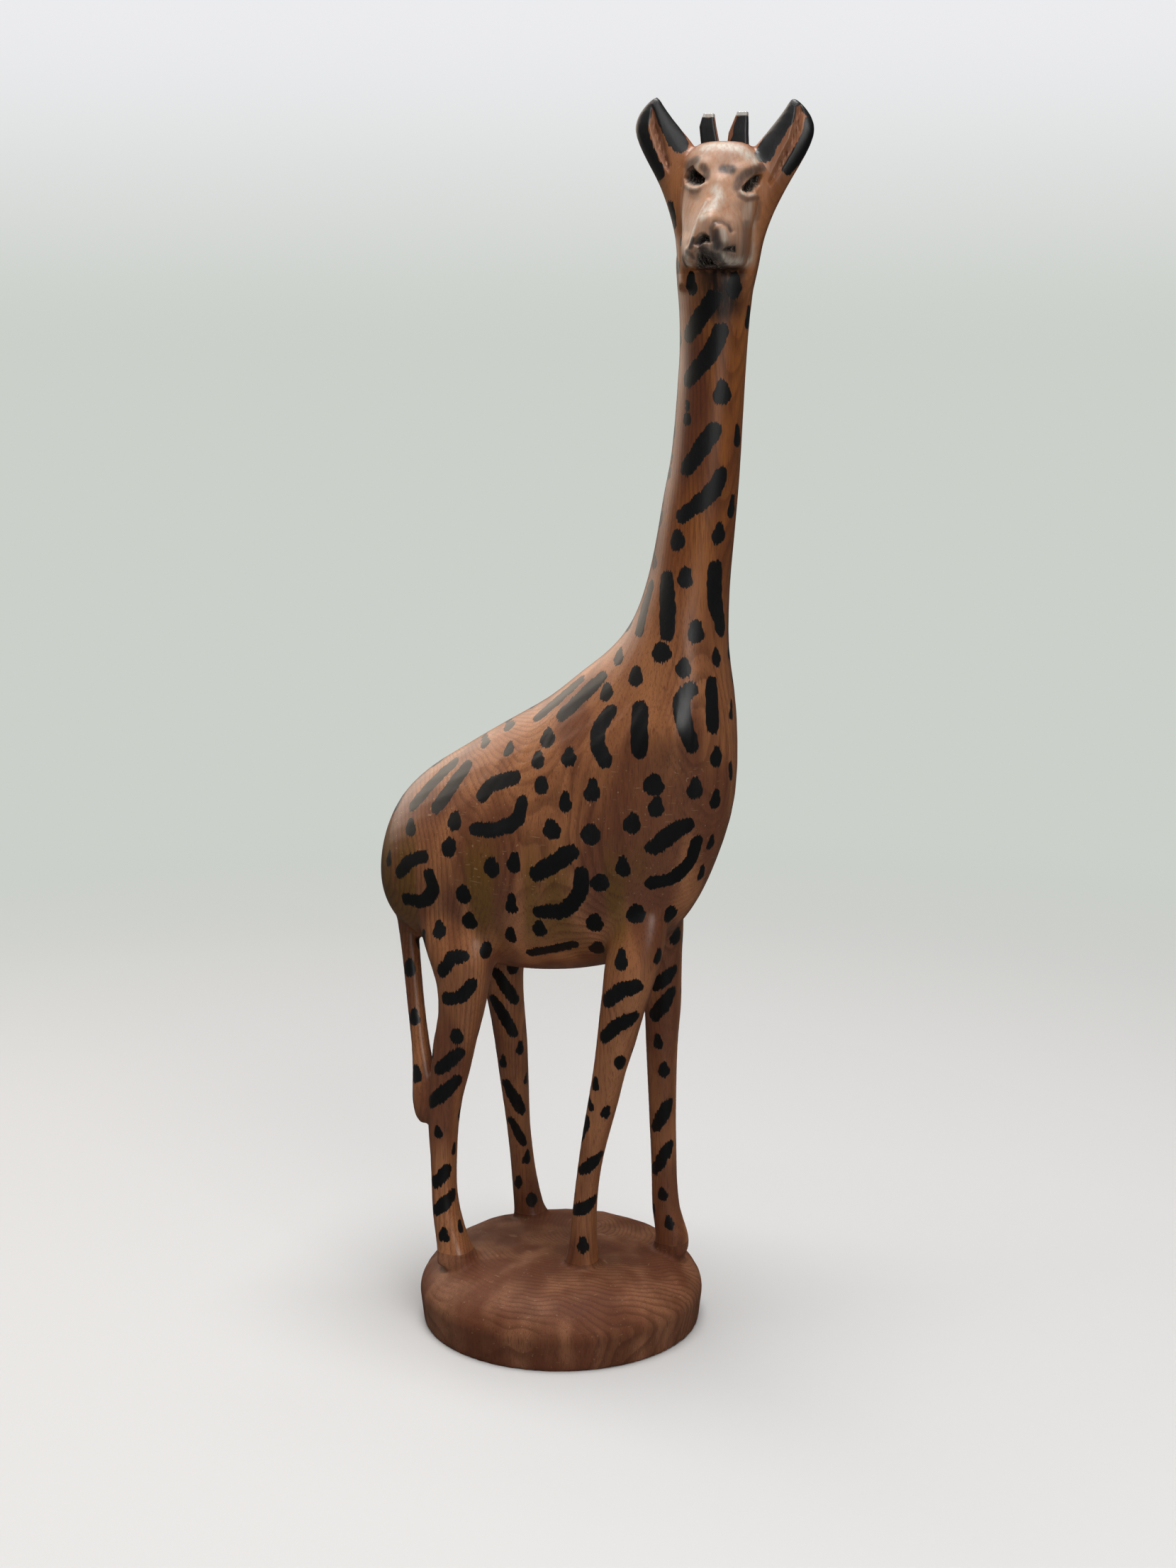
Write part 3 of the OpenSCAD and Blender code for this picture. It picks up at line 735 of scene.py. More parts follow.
headCarving = {
    "smoothness": 1,         # subdivision level
    "grain": (1.6, 0.4, 0.25),
    "grainDepth": 0.55,      # how far the torn grain roughens a hollow
    "faceFrom": (15.5, 2, 442.5),  # the waxed face ends this far across, behind and below
    "faceFade": (3, 5, 2),
    "frontFade": 3,          # how soon the wax with its painted highlights, and the black with its painted shade, come on as the wood turns to the front
    "swellFade": 2,
    "shadowAndStainTurn": (3, 1),     # the same for the painted shadow and stain under the jaw and for the pale wood, which also start further back
    "paleTurn": (1.5, 0.35),
    "hollows": [  # outline as across and height, which way it faces, depth, slope of its walls, roughness
        {"outline": [(-10.3, 480.9), (-13, 479.6), (-14.4, 476.8), (-14, 474.6), (-11.2, 473.1),
                     (-7.7, 473),
                     (-5.1, 474.4), (-5.2, 476), (-7.5, 478), (-9.2, 479.3)],
         "side": -35, "depth": 3.8, "slope": 2.4, "rough": 0.9},
        {"outline": [(15.4, 478), (13, 477.8), (11.1, 475.8), (8.8, 472.8), (9, 471.1), (11.2, 470.1),
                     (13.3, 470.8), (14.9, 473.9), (15.7, 476.9)],
         "side": 38, "depth": 3.8, "slope": 2.4, "rough": 0.9},
        {"outline": [(-8.1, 451.3), (-7.1, 454), (-5.3, 455.7), (-3.4, 455.6), (-1.6, 454.4),
                     (-0.9, 451.5),
                     (-3.6, 451.7), (-5.8, 450.3)],
         "side": -20, "depth": 3, "slope": 1.9, "rough": 0.9},
        {"outline": [(2.4, 449), (4.8, 451), (8, 451.5), (8, 448), (5.5, 448.6)],
         "side": 5, "depth": 2.6, "slope": 2.4, "rough": 0.3},
        {"outline": [(-7.6, 447.6), (-5.3, 450.3), (-2.8, 450), (-0.5, 448.6), (1, 446.4), (2.9, 444.2),
                     (6, 442.8), (8.1, 441.9), (-9, 441.9), (-8, 444)],
         "side": 0, "depth": 4.6, "slope": 1.5, "rough": 1, "from": -0.7},
        {"outline": [(-27.8, 504.6), (-28.7, 497), (-26, 488), (-22.3, 480.5), (-20.2, 478),
                     (-19.4, 481.4),
                     (-21.2, 488), (-24, 496), (-26.6, 502.4)],
         "side": 0, "depth": 1.7, "slope": 0.9, "rough": 1, "layer": "groove"},
        {"outline": [(27.2, 503.4), (26.6, 498), (25, 491), (21.5, 484), (17.4, 475), (18.6, 472.8),
                     (22.6, 479),
                     (26.6, 486), (29.5, 493.5), (30.4, 501), (29.2, 504)],
         "side": 0, "depth": 1.7, "slope": 0.9, "rough": 1, "layer": "groove"},
    ],
    "swells": [  # line as across and height, reach, how far the wood stands out along it
        ([(0.6, 474), (0.6, 468), (-1.8, 461)], 3.6, 1.5),
        ([(-1.6, 459.4), (-0.6, 458)], 3, 1.2),
        ([(3, 456.4), (3.7, 453)], 2.5, 1.1),
        ([(-13, 473.6), (-11.2, 472.2), (-7.7, 472), (-5.2, 473.6)], 1.1, 0.35),
        ([(8.6, 470.4), (11, 469.2), (13.4, 469.8)], 1.1, 0.35),
        ([(-12, 483.6), (-6, 481.6)], 2.6, 0.8),
        ([(7.5, 479), (14, 480.6)], 2.6, 0.8),
        ([(-9.5, 468), (-12, 457)], 3.2, -1.4),
        ([(-3.6, 467.3), (-5.8, 462), (-7.4, 456.5), (-9.1, 450), (-10.6, 445)], 0.9, 0.55),
        ([(10, 464), (12, 458)], 3.4, -0.8),
        ([(-0.6, 452.6), (-0.9, 456.6), (0.3, 459), (2.8, 459.7), (5.3, 458.5), (6.5, 456.4)], 0.9, -0.7),
        ([(-10, 449.4), (-9.8, 445)], 1.3, 1),
        ([(4, 445.8), (9.4, 445)], 2, 0.8),
    ],
    "waxAndHighlight": [  # whitish wax and painted highlights on the face: line, reach, amount
        ([(-6.5, 487.4), (-2.5, 488.4), (2.2, 488.4), (7, 487), (10.4, 484.4), (12.8, 482.5)], 2.4, 0.8),
        ([(-0.7, 471.3), (0.9, 468), (-1, 464.7), (-4.1, 461.4)], 2.7, 0.8),
        ([(-3.8, 466.6), (-6, 461.6), (-7.6, 456), (-9.3, 449.6)], 0.7, 0.75),
        ([(3, 455.8), (3.9, 452.8)], 1.7, 0.75),
        ([(3.6, 446.8), (5.8, 445.2), (8.8, 445.2), (11, 446.6)], 2, 0.75),
        ([(-9.6, 448.6), (-10.2, 445.6), (-9.5, 444)], 1.1, 0.85),
        ([(-8, 457.8), (-8.6, 454.6)], 1, 0.6),
        ([(-13.2, 474.4), (-11.3, 472.7), (-7.8, 472.5), (-5, 474)], 0.6, 0.7),
        ([(8.4, 471.4), (9, 470.3), (11, 469.5), (13.3, 470.2)], 0.7, 0.8),
        ([(15, 473.4), (15.9, 477)], 0.5, 0.7),
        ([(-8.6, 480), (-7.2, 484)], 1.5, 0.5),
        ([(12.6, 452), (12.4, 446)], 1.6, 0.4),
        ([(11.6, 466), (12.4, 459)], 2.2, 0.6),
    ],
    "waxAndHighlightAll": 0.27,
    "blackSmearsAndShade": [  # thin black brushed over, and painted shade down the side of the nose: line, reach, amount
        ([(1.6, 479.5), (4.6, 479.1)], 1.9, 0.92),
        ([(-8.8, 483), (-10.9, 481.7), (-12.2, 479.8)], 1.6, 0.7),
        ([(-6, 480), (-4.7, 478.4), (-4.7, 476.4)], 1.6, 0.75),
        ([(-13.2, 473.2), (-10, 471.3), (-7, 471.8)], 0.9, 0.4),
        ([(15.2, 480.4), (12.8, 479.2), (10.2, 477.8), (8, 475.4), (7.2, 472.6)], 1.9, 0.75),
        ([(7.2, 472), (8, 469.6), (11, 468), (14, 468.9)], 0.9, 0.5),
        ([(14.9, 467.3), (14.1, 461.4)], 0.9, 0.35),
        ([(11.3, 459.4), (11, 451.5), (10.6, 447.4)], 1.25, 0.45),
        ([(-0.6, 453.3), (-0.9, 456.6), (0.3, 458.6), (2.8, 459.2), (5.3, 458), (6.1, 456.4)], 0.95, 0.75),
        # painted shade down the left of the nose bulb
        ([(0.6, 455.4), (1.4, 450.6)], 1.6, 0.85),
        ([(-4.6, 450.8), (-3, 447.4), (0.6, 446.8)], 1.6, 0.8),
        ([(-8.6, 450.4), (-7.8, 453.4)], 0.9, 0.9),
        ([(-9.6, 449.4), (-7.6, 446.4)], 0.6, 0.6),
        ([(1.8, 447.6), (3.4, 445)], 0.9, 0.7),
    ],
    "shadowsAndStains": [  # painted shadow and stain on the throat under the chin: line, reach, amount
        ([(0.5, 446), (0.5, 440), (1, 431)], 8.5, 0.99),
        ([(-4.5, 442.6), (6.5, 442)], 4, 0.9),
        ([(-5, 446), (-1.5, 444.6), (4, 442.6)], 2.6, 0.92),
        ([(-5, 452.8), (-2.4, 453.4)], 2.2, 0.6),
    ],
    "pale": (418, 448),
}


def headPlaces(piece):  # across, forward, height in the head's own frame
    places = points(piece) / mm
    c, s = math.cos(headFrame["turn"]), math.sin(headFrame["turn"])
    x, y = places[:, 0] - headFrame["x"], places[:, 1]
    return x * c + y * s, x * s - y * c, places[:, 2]


def insideOf(u, z, outline):
    inside = np.zeros(len(u), bool)
    for (u0, z0), (u1, z1) in zip(outline, outline[1:] + outline[:1]):
        crosses = (z0 > z) != (z1 > z)
        inside ^= crosses & (u < (u1 - u0) * (z - z0) / ((z1 - z0) or 1e-9) + u0)
    return inside


def layered(u, z, marks, power, least=0):  # the strongest of soft-edged marks: line, reach, amount
    amounts = np.full(len(u), float(least))
    for line, reach, amount in marks:
        amounts = np.maximum(amounts, amount * np.exp(-(lineDistance(u, z, line) / reach) ** power))
    return amounts


def carveHead(piece, carving):
    u, forward, z = headPlaces(piece)
    facing = normals(piece)
    toFront = np.clip(facing @ -headView[2], 0, 1)
    raised = np.zeros(len(u))
    for line, reach, height in carving["swells"]:
        raised += height * np.exp(-(lineDistance(u, z, line) / reach) ** 2)
    raised *= np.minimum(1, toFront * carving["swellFade"])
    places = points(piece) + facing * raised[:, None] * mm
    deep = {"hollow": np.zeros(len(u)), "groove": np.zeros(len(u))}
    scale = Vector(carving["grain"])
    grain = np.array([noise.noise(Vector(p) * scale / mm) for p in points(piece)])
    for hollow in carving["hollows"]:
        way = -np.array(viewPlane(headSide + hollow["side"])[2])
        faces = (facing @ way > hollow.get("from", 0.1)) & (forward > 0)
        inside = insideOf(u, z, hollow["outline"]) & faces
        gap = lineDistance(u, z, hollow["outline"] + hollow["outline"][:1])
        depth = np.minimum(hollow["depth"], gap * hollow["slope"]) * inside
        depth *= 1 + hollow["rough"] * carving["grainDepth"] * grain
        places -= way * depth[:, None] * mm
        layer = hollow.get("layer", "hollow")
        deep[layer] = np.maximum(deep[layer], depth / hollow["depth"])
    setPoints(piece, places)
    for layer, amounts in deep.items():
        setAttribute(piece, layer, amounts)
    uncut = np.clip(toFront * carving["frontFade"], 0, 1) * (1 - deep["hollow"])
    wide, back, low = carving["faceFrom"]
    onFace = 1
    for gap, fade in zip((wide - abs(u), forward - back, z - low), carving["faceFade"]):
        onFace = onFace * np.clip(gap / fade, 0, 1)
    # whitish wax and painted highlights on the nose ridge, forehead, facet edges and eye rims
    waxAndHighlight = layered(u, z, carving["waxAndHighlight"], 2, carving["waxAndHighlightAll"])
    setAttribute(piece, "waxAndHighlight", waxAndHighlight * onFace * uncut)
    # black brushwork round the eyes and nose, and painted shade beside the nose
    blackSmearAndShade = layered(u, z, carving["blackSmearsAndShade"], 4)
    setAttribute(piece, "blackSmearAndShade", blackSmearAndShade * uncut * (forward > back))


def shadeHead(piece, carving):  # painted shadow and stain on the throat under the jaw, and the paler wood to the front
    u, _, z = headPlaces(piece)
    front = normals(piece) @ -headView[2]
    # painted shadow, partly stain, on the throat under the jaw
    shadowAndStain = layered(u, z, carving["shadowsAndStains"], 4)
    pale = np.interp(z, carving["pale"], (0, 1))
    for name, amounts in (("shadowAndStain", shadowAndStain), ("pale", pale)):
        turn, start = carving[name + "Turn"]
        setAttribute(piece, name, amounts * np.clip(front * turn + start, 0, 1))


def makeHead():
    headPiece = takePart(block, "headPiece", [above(cuts["head"])], fill=False)
    level = headCarving["smoothness"]
    applyModifier(headPiece, "SUBSURF", levels=level, render_levels=level)
    for name in ("paint", "paintEnd"):
        headPiece.data.attributes.remove(headPiece.data.attributes[name])
    paintDistance(headPiece, bodyStrokes + headPlan())
    carveHead(headPiece, headCarving)
    shadeHead(headPiece, headCarving)
    pick(headPiece)
    editMode(True)
    bpy.ops.mesh.select_all(action="DESELECT")
    bpy.ops.mesh.select_non_manifold()
    bpy.ops.mesh.edge_face_add()
    editMode(False)
    return headPiece


def earPlane(side):  # place and outward direction of the cut at an ear's root
    u, z = ear["cutPlace"]
    c, s = math.cos(headFrame["turn"]), math.sin(headFrame["turn"])
    outU, outZ = side * math.sin(ear["cutTurn"]), math.cos(ear["cutTurn"])
    place = Vector((headFrame["x"] + side * u * c, side * u * s, z)) * mm
    return place, Vector((outU * c, outU * s, outZ))


def splitHead(headPiece):
    parts = {}
    for name, side in (("earRight", -1), ("earLeft", 1)):
        place, out = earPlane(side)
        parts[name] = takePart(headPiece, name, [(place, out)])
        sliceOff(headPiece, place, -out)
    parts["head"] = headPiece
    headPiece.name = "head"
    return parts


horns = {
    # height, centre across, half width, half depth
    "hornRight": [
        (483.5, -4.6, 3.6, 3.7), (487.5, -4.85, 3.45, 3.5), (495.8, -6.2, 3.05, 3.1),
        (499.2, -6, 2.3, 2.7), (500.7, -5.8, 2, 2.4),
    ],
    "hornLeft": [
        (483.5, 5.4, 4.1, 3.7), (487.5, 5.4, 4.1, 3.5), (493.5, 5.6, 3.6, 3.2), (497.4, 6.4, 2.8, 2.8),
        (501.2, 7.1, 1.95, 2.5),
    ],
}
hornShape = {
    "forward": 1,
    "square": 9,
    "ringPoints": 24,
    "voxel": 0.28 * mm,
    "smooth": 2,
    "bare": 0.3,     # the inner sides are left bare, as far as they turn from the front
    "tipBare": 1.6,
    "edge": 3,       # how sharply the paint and the pale tip end
    "tipWaxAndHighlight": 0.95,
    "cutPlace": 5.2,  # the knife cut on the left horn
    "cutTop": 500,
    "cutSlope": 0.22,
}


def makeHorn(name, stations):
    sections = [((u, -hornShape["forward"], z), wide, deep, 0) for z, u, wide, deep in stations]
    horn = growForm(name, sections, hornShape["ringPoints"], hornShape["square"])
    setInHead(horn)
    applyModifier(horn, "REMESH", mode="VOXEL", voxel_size=hornShape["voxel"])
    applyModifier(horn, "SMOOTH", factor=0.5, iterations=hornShape["smooth"])
    facing = normals(horn)
    u, _, z = headPlaces(horn)
    outer = facing @ headView[1] * np.sign(u.mean())
    bare = hornShape["edge"] * (hornShape["bare"] - np.maximum(abs(facing @ headView[2]), outer))
    tip = stations[-1][0] - hornShape["tipBare"]
    # the bare tip is whitened: whitish wax and a painted highlight on its top
    setAttribute(horn, "waxAndHighlight", np.clip((z - tip) * hornShape["edge"], 0, hornShape["tipWaxAndHighlight"]))
    if name == "hornLeft":  # one knife cut bares its inner corner
        cutEdge = hornShape["cutPlace"] - (hornShape["cutTop"] - z) * hornShape["cutSlope"]
        bare = np.maximum(bare, cutEdge - u)
    setAttribute(horn, "paint", np.maximum(bare, z - tip))
    return horn


def cutCarving():
    parts = splitHead(makeHead())
    parts["neck"] = takePart(block, "neck", [above(cuts["neck"]), below(cuts["head"])])
    shadeHead(parts["neck"], headCarving)
    parts["torso"] = takePart(block, "torso", [above(cuts["leg"]), below(cuts["neck"])])
    parts["base"] = takePart(block, "base", [below(cuts["foot"])])
    limbs = takePart(block, "limbs", [above(cuts["foot"]), below(cuts["leg"])])
    pick(limbs)
    bpy.ops.mesh.separate(type="LOOSE")
    for limb in list(bpy.context.selected_objects):
        places = points(limb)
        if len(places) < carving["crumb"]:
            bpy.data.objects.remove(limb)
            continue
        middle = places.mean(0) / mm
        name = ("legFront" if middle[0] > 0 else "legHind") + ("Left" if middle[1] > 0 else "Right")
        limb.name = name
        parts[name] = limb
    hock = (cuts["hock"] * mm, 0, 0)
    parts["tail"] = takePart(parts["legHindRight"], "tail", [(hock, (-1, 0, 0))])
    sliceOff(parts["legHindRight"], hock, (1, 0, 0))
    bpy.data.objects.remove(block)
    for name, stations in horns.items():
        parts[name] = makeHorn(name, stations)
    for part in parts.values():
        part.data.name = part.name
        pick(part)
        bpy.ops.object.shade_smooth_by_angle(angle=math.radians(carving["creaseAngle"]))
    return parts


parts = cutCarving()
print("cut into:", ", ".join(sorted(parts)))


def addNode(tree, kind, inputs=None, **settings):
    item = tree.nodes.new("ShaderNode" + kind)
    for key, value in settings.items():
        setattr(item, key, value)
    for key, value in (inputs or {}).items():
        if isinstance(value, bpy.types.NodeSocket):
            tree.links.new(value, item.inputs[key])
        else:
            item.inputs[key].default_value = value
    return item


def calc(tree, operation, first, second=0.0, third=0.0, clamp=False):
    inputs = {0: first, 1: second, 2: third}
    return addNode(tree, "Math", inputs, operation=operation, use_clamp=clamp).outputs[0]


def spread(tree, value, low, high, toLow=0.0, toHigh=1.0):  # a range turned into another, held at its ends
    inputs = {"Value": value, "From Min": low, "From Max": high, "To Min": toLow, "To Max": toHigh}
    return addNode(tree, "MapRange", inputs, interpolation_type="SMOOTHSTEP").outputs[0]


def blendColour(tree, amount, first, second, how="MIX"):
    item = addNode(tree, "Mix", {0: amount}, data_type="RGBA", blend_type=how)
    for socket, value in ((item.inputs[6], first), (item.inputs[7], second)):
        if isinstance(value, bpy.types.NodeSocket):
            tree.links.new(value, socket)
        else:
            socket.default_value = (*value, 1)
    return item.outputs[2]


def stretched(tree, place, scale, size, detail=2.0, shift=(0, 0, 0)):  # noise drawn out along the grain
    moved = addNode(tree, "Mapping", {"Vector": place, "Scale": scale, "Location": shift}).outputs[0]
    return addNode(tree, "TexNoise", {"Vector": moved, "Scale": size, "Detail": detail}).outputs["Fac"]


def attribute(tree, name):
    return addNode(tree, "Attribute", attribute_name=name).outputs["Fac"]


woodLook = {
    "light": (0.33, 0.112, 0.025),
    "mid": (0.19, 0.054, 0.012),
    "paleLight": (0.41, 0.17, 0.072),  # the paler front of the head, the ears and the body
    "paleMid": (0.31, 0.12, 0.047),
    "dark": (0.06, 0.016, 0.006),
    "olive": (0.155, 0.08, 0.005),
    "fleck": (0.5, 0.3, 0.17),  # worn specks and scratches on the flanks
    "dust": 0.0,
    "faded": 0.85,        # how far the body and legs have gone to the paler colours
    "plum": (0.11, 0.031, 0.015),
    "pith": (8, 30),      # where the rings centre, in millimetres
    "ring": 1.5,          # ring spacing
    "rings": 0.42,        # how strongly they show
    "olives": 0.75,
    "roughness": 0.36,
    "shine": 0.75,
    "bump": 0.05 * mm,
    # colour of the painted shadow and stain on the throat under the jaw
    "shadowAndStain": (0.014, 0.005, 0.002),
    "painted": True,
}
baseLook = {
    **woodLook,
    "light": (0.27, 0.117, 0.062),
    "mid": (0.175, 0.072, 0.037),
    "dark": (0.07, 0.026, 0.013),
    "olives": 0.0,
    "roughness": 0.58,
    "shine": 0.15,
    "rings": 0.5,
    "ring": 1.9,
    "pith": (6, 24),
    "dust": 0.5,
    "faded": 0.0,
    "painted": False,
}
faceLook = {
    **woodLook,
    "shine": 0.3,
    "roughness": 0.42,
    "waxAndHighlight": (0.54, 0.475, 0.4),  # the whitish wax and painted highlights
    # black brushwork, also used for painted shade beside the nose
    "blackSmearAndShade": (0.026, 0.025, 0.028),
    "layer": "hollow",
    # near black in the face's hollows: black paint in the eye sockets, painted shade in the nostrils, the
    # mouth and the chin recess
    "hollow": (0.014, 0.008, 0.006),
    "torn": 0.4,                  # share of torn fibre in the hollows
    "tornColour": (0.4, 0.32, 0.26),
}
earLook = {
    **woodLook,
    "layer": "groove",
    "hollow": (0.24, 0.09, 0.04),
    "torn": 0.9,
    "tornColour": (0.42, 0.2, 0.11),
}
hornLook = {
    **woodLook,
    "light": (0.42, 0.2, 0.11),
    "mid": (0.3, 0.13, 0.07),
    "olives": 0.0,
    "faded": 0.0,
    "rings": 0.2,
    # whitish wax and painted highlight on the bare tip
    "waxAndHighlight": (0.6, 0.59, 0.55),
}
inkLook = {
    "colour": (0.003, 0.003, 0.0038),
    "worn": (0.014, 0.014, 0.016),
    "roughness": 0.4,
    "relief": 0.35,
    "ragged": 2.6,  # how far the bristles stray at a stroke's ends, and beside it
    "beside": 0.35,
    "wobble": 1.7,
}
figure = {
    "wander": ((1, 1, 0.4), 0.022, 17.0),  # how the rings stray: stretch, scale, distance
    "climb": 0.035,
    "uneven": 1.6,
    "plum": 0.7,
    "fleck": 0.5,
    "bright": (0.9, 0.75, 0.6),
    "fibreDepth": -0.6,
    "fineDepth": -0.3,
    "broadRough": 0.12,
    "hollowRough": 0.4,
    "broadWear": 0.6,
}
noises = {  # stretch along each axis, scale, detail and shift, in millimetres
    "broad": ((1, 1, 0.12), 0.09, 3),
    "fibre": ((1, 1, 0.04), 2.6, 3),
    "fine": ((1, 1, 0.06), 6.5, 2),
    "uneven": ((1, 1, 0.3), 0.05, 1),
    "ringFade": ((1, 1, 0.5), 0.03, 1),
    "plum": ((1, 1, 0.3), 0.045, 2, (31, 7, 12)),
    "olive": ((1, 0.6, 0.05), 0.075, 1, (4, 0, 0)),
    "flecks": ((1, 1, 0.8), 1.1, 0),
    "scratches": ((0.09, 0.09, 1), 2.6, 0, (3, 0, 9)),
    "shadowAndStain": ((1, 1, 0.2), 0.7, 2),
    "torn": ((1, 1, 0.1), 1.3, 2),
    "ragged": ((1, 1, 0.07), 1.7, 1),
    "wobble": ((1, 1, 0.7), 0.33, 1),
    "streaks": ((1, 1, 0.12), 0.75, 3),
    "thin": ((1, 1, 0.25), 0.8, 3),
}
spans = {  # the range of a value that counts, and what it is turned into when not 0 to 1
    "broad": (0.32, 0.66),
    "ringStart": (0.35, 0.86),
    "ringEnd": (1.0, 0.9),
    "ringFade": (0.3, 0.62),
    "plum": (0.44, 0.6),
    "olive": (0.5, 0.66),
    "oliveTop": (226.0, 198.0),
    "oliveFoot": (160.0, 186.0),
    "fadedTop": (350.0, 280.0),
    "plain": (0.0, 1.0, 1.0, 0.35),
    "fibre": (0.48, 0.74, 0.0, 0.6),
    "fine": (0.3, 0.7, 0.0, 0.35),
    "wornFoot": (185.0, 200.0),
    "wornTop": (262.0, 245.0),
    "flecks": (0.79, 0.82),
    "scratches": (0.8, 0.84),
    "shadowAndStain": (0.25, 0.6, 0.7, 1.0),
    "deep": (0.05, 0.55),
    "torn": (0.52, 0.64),
    "painted": (0.12, -0.14),
    "wear": (0.86, 1.1),
    "streaks": (0.25, 0.7, 0.6, 1.3),
    "thin": (0.3, 0.62, 0.8, 1.0),
}


def times(tree, first, *others):
    for value in others:
        first = calc(tree, "MULTIPLY", first, value)
    return first


def plus(tree, first, second):
    return calc(tree, "ADD", first, second)


def patch(tree, place, name):
    return spread(tree, stretched(tree, place, *noises[name]), *spans[name])


def ringLines(tree, place, look):
    stretch, scale, reach = figure["wander"]
    moved = addNode(tree, "Mapping", {"Vector": place, "Scale": stretch}).outputs[0]
    wander = addNode(tree, "TexNoise", {"Vector": moved, "Scale": scale, "Detail": 2.0}).outputs["Color"]
    offset = addNode(tree, "VectorMath", {0: wander, 1: (0.5, 0.5, 0.5)}, operation="SUBTRACT").outputs[0]
    offset = addNode(tree, "VectorMath", {0: offset, "Scale": reach}, operation="SCALE").outputs[0]
    warped = addNode(tree, "VectorMath", {0: place, 1: offset}, operation="ADD").outputs[0]
    axes = addNode(tree, "SeparateXYZ", {0: warped}).outputs
    east = calc(tree, "SUBTRACT", axes[0], look["pith"][0])
    north = calc(tree, "SUBTRACT", axes[1], look["pith"][1])
    radius = calc(tree, "SQRT", plus(tree, times(tree, east, east), times(tree, north, north)))
    radius = plus(tree, radius, times(tree, axes[2], figure["climb"]))
    uneven = times(tree, stretched(tree, place, *noises["uneven"]), figure["uneven"])
    ring = calc(tree, "FRACT", plus(tree, calc(tree, "DIVIDE", radius, look["ring"]), uneven))
    line = times(tree, spread(tree, ring, *spans["ringStart"]), spread(tree, ring, *spans["ringEnd"]))
    return times(tree, line, patch(tree, place, "ringFade"))


def woodColour(tree, place, look, broad, fibre, fine):
    pale = attribute(tree, "pale")
    level = addNode(tree, "SeparateXYZ", {0: place}).outputs[2]
    faded = calc(tree, "MAXIMUM", pale, spread(tree, level, *spans["fadedTop"], 0.0, look["faded"]))
    light = blendColour(tree, faded, look["light"], look["paleLight"])
    mid = blendColour(tree, faded, look["mid"], look["paleMid"])
    colour = blendColour(tree, spread(tree, broad, *spans["broad"]), light, mid)
    plain = spread(tree, pale, *spans["plain"])  # the pale wood shows less figure
    plum = times(tree, patch(tree, place, "plum"), figure["plum"], plain)
    colour = blendColour(tree, plum, colour, look["plum"])
    if look["olives"]:
        olive = times(tree, patch(tree, place, "olive"), look["olives"])
        for edge in ("oliveTop", "oliveFoot"):
            olive = times(tree, olive, spread(tree, level, *spans[edge]))
        colour = blendColour(tree, olive, colour, look["olive"])
    rings = times(tree, ringLines(tree, place, look), plain, look["rings"])
    colour = blendColour(tree, rings, colour, look["dark"])
    lines = times(tree, spread(tree, fibre, *spans["fibre"]), plain)
    colour = blendColour(tree, lines, colour, look["dark"])
    colour = blendColour(tree, spread(tree, fine, *spans["fine"]), colour, figure["bright"], "SOFT_LIGHT")
    worn = times(tree, spread(tree, level, *spans["wornFoot"]), spread(tree, level, *spans["wornTop"]))
    marks = calc(tree, "MAXIMUM", patch(tree, place, "flecks"), patch(tree, place, "scratches"))
    worn = times(tree, plus(tree, worn, look["dust"]), marks, figure["fleck"])
    colour = blendColour(tree, worn, colour, look["fleck"])
    # painted shadow and stain on the throat under the jaw
    shadowAndStain = times(tree, attribute(tree, "shadowAndStain"), patch(tree, place, "shadowAndStain"))
    return blendColour(tree, shadowAndStain, colour, look["shadowAndStain"])


def brushEdge(tree, place, ink):  # below zero under a stroke, ragged at its ends
    ragged = calc(tree, "SUBTRACT", stretched(tree, place, *noises["ragged"]), 0.5)
    wobble = calc(tree, "SUBTRACT", stretched(tree, place, *noises["wobble"]), 0.5)
    ends = plus(tree, times(tree, attribute(tree, "paintEnd"), ink["ragged"]), ink["beside"])
    edge = plus(tree, attribute(tree, "paint"), times(tree, ragged, ends))
    return plus(tree, edge, times(tree, wobble, ink["wobble"]))


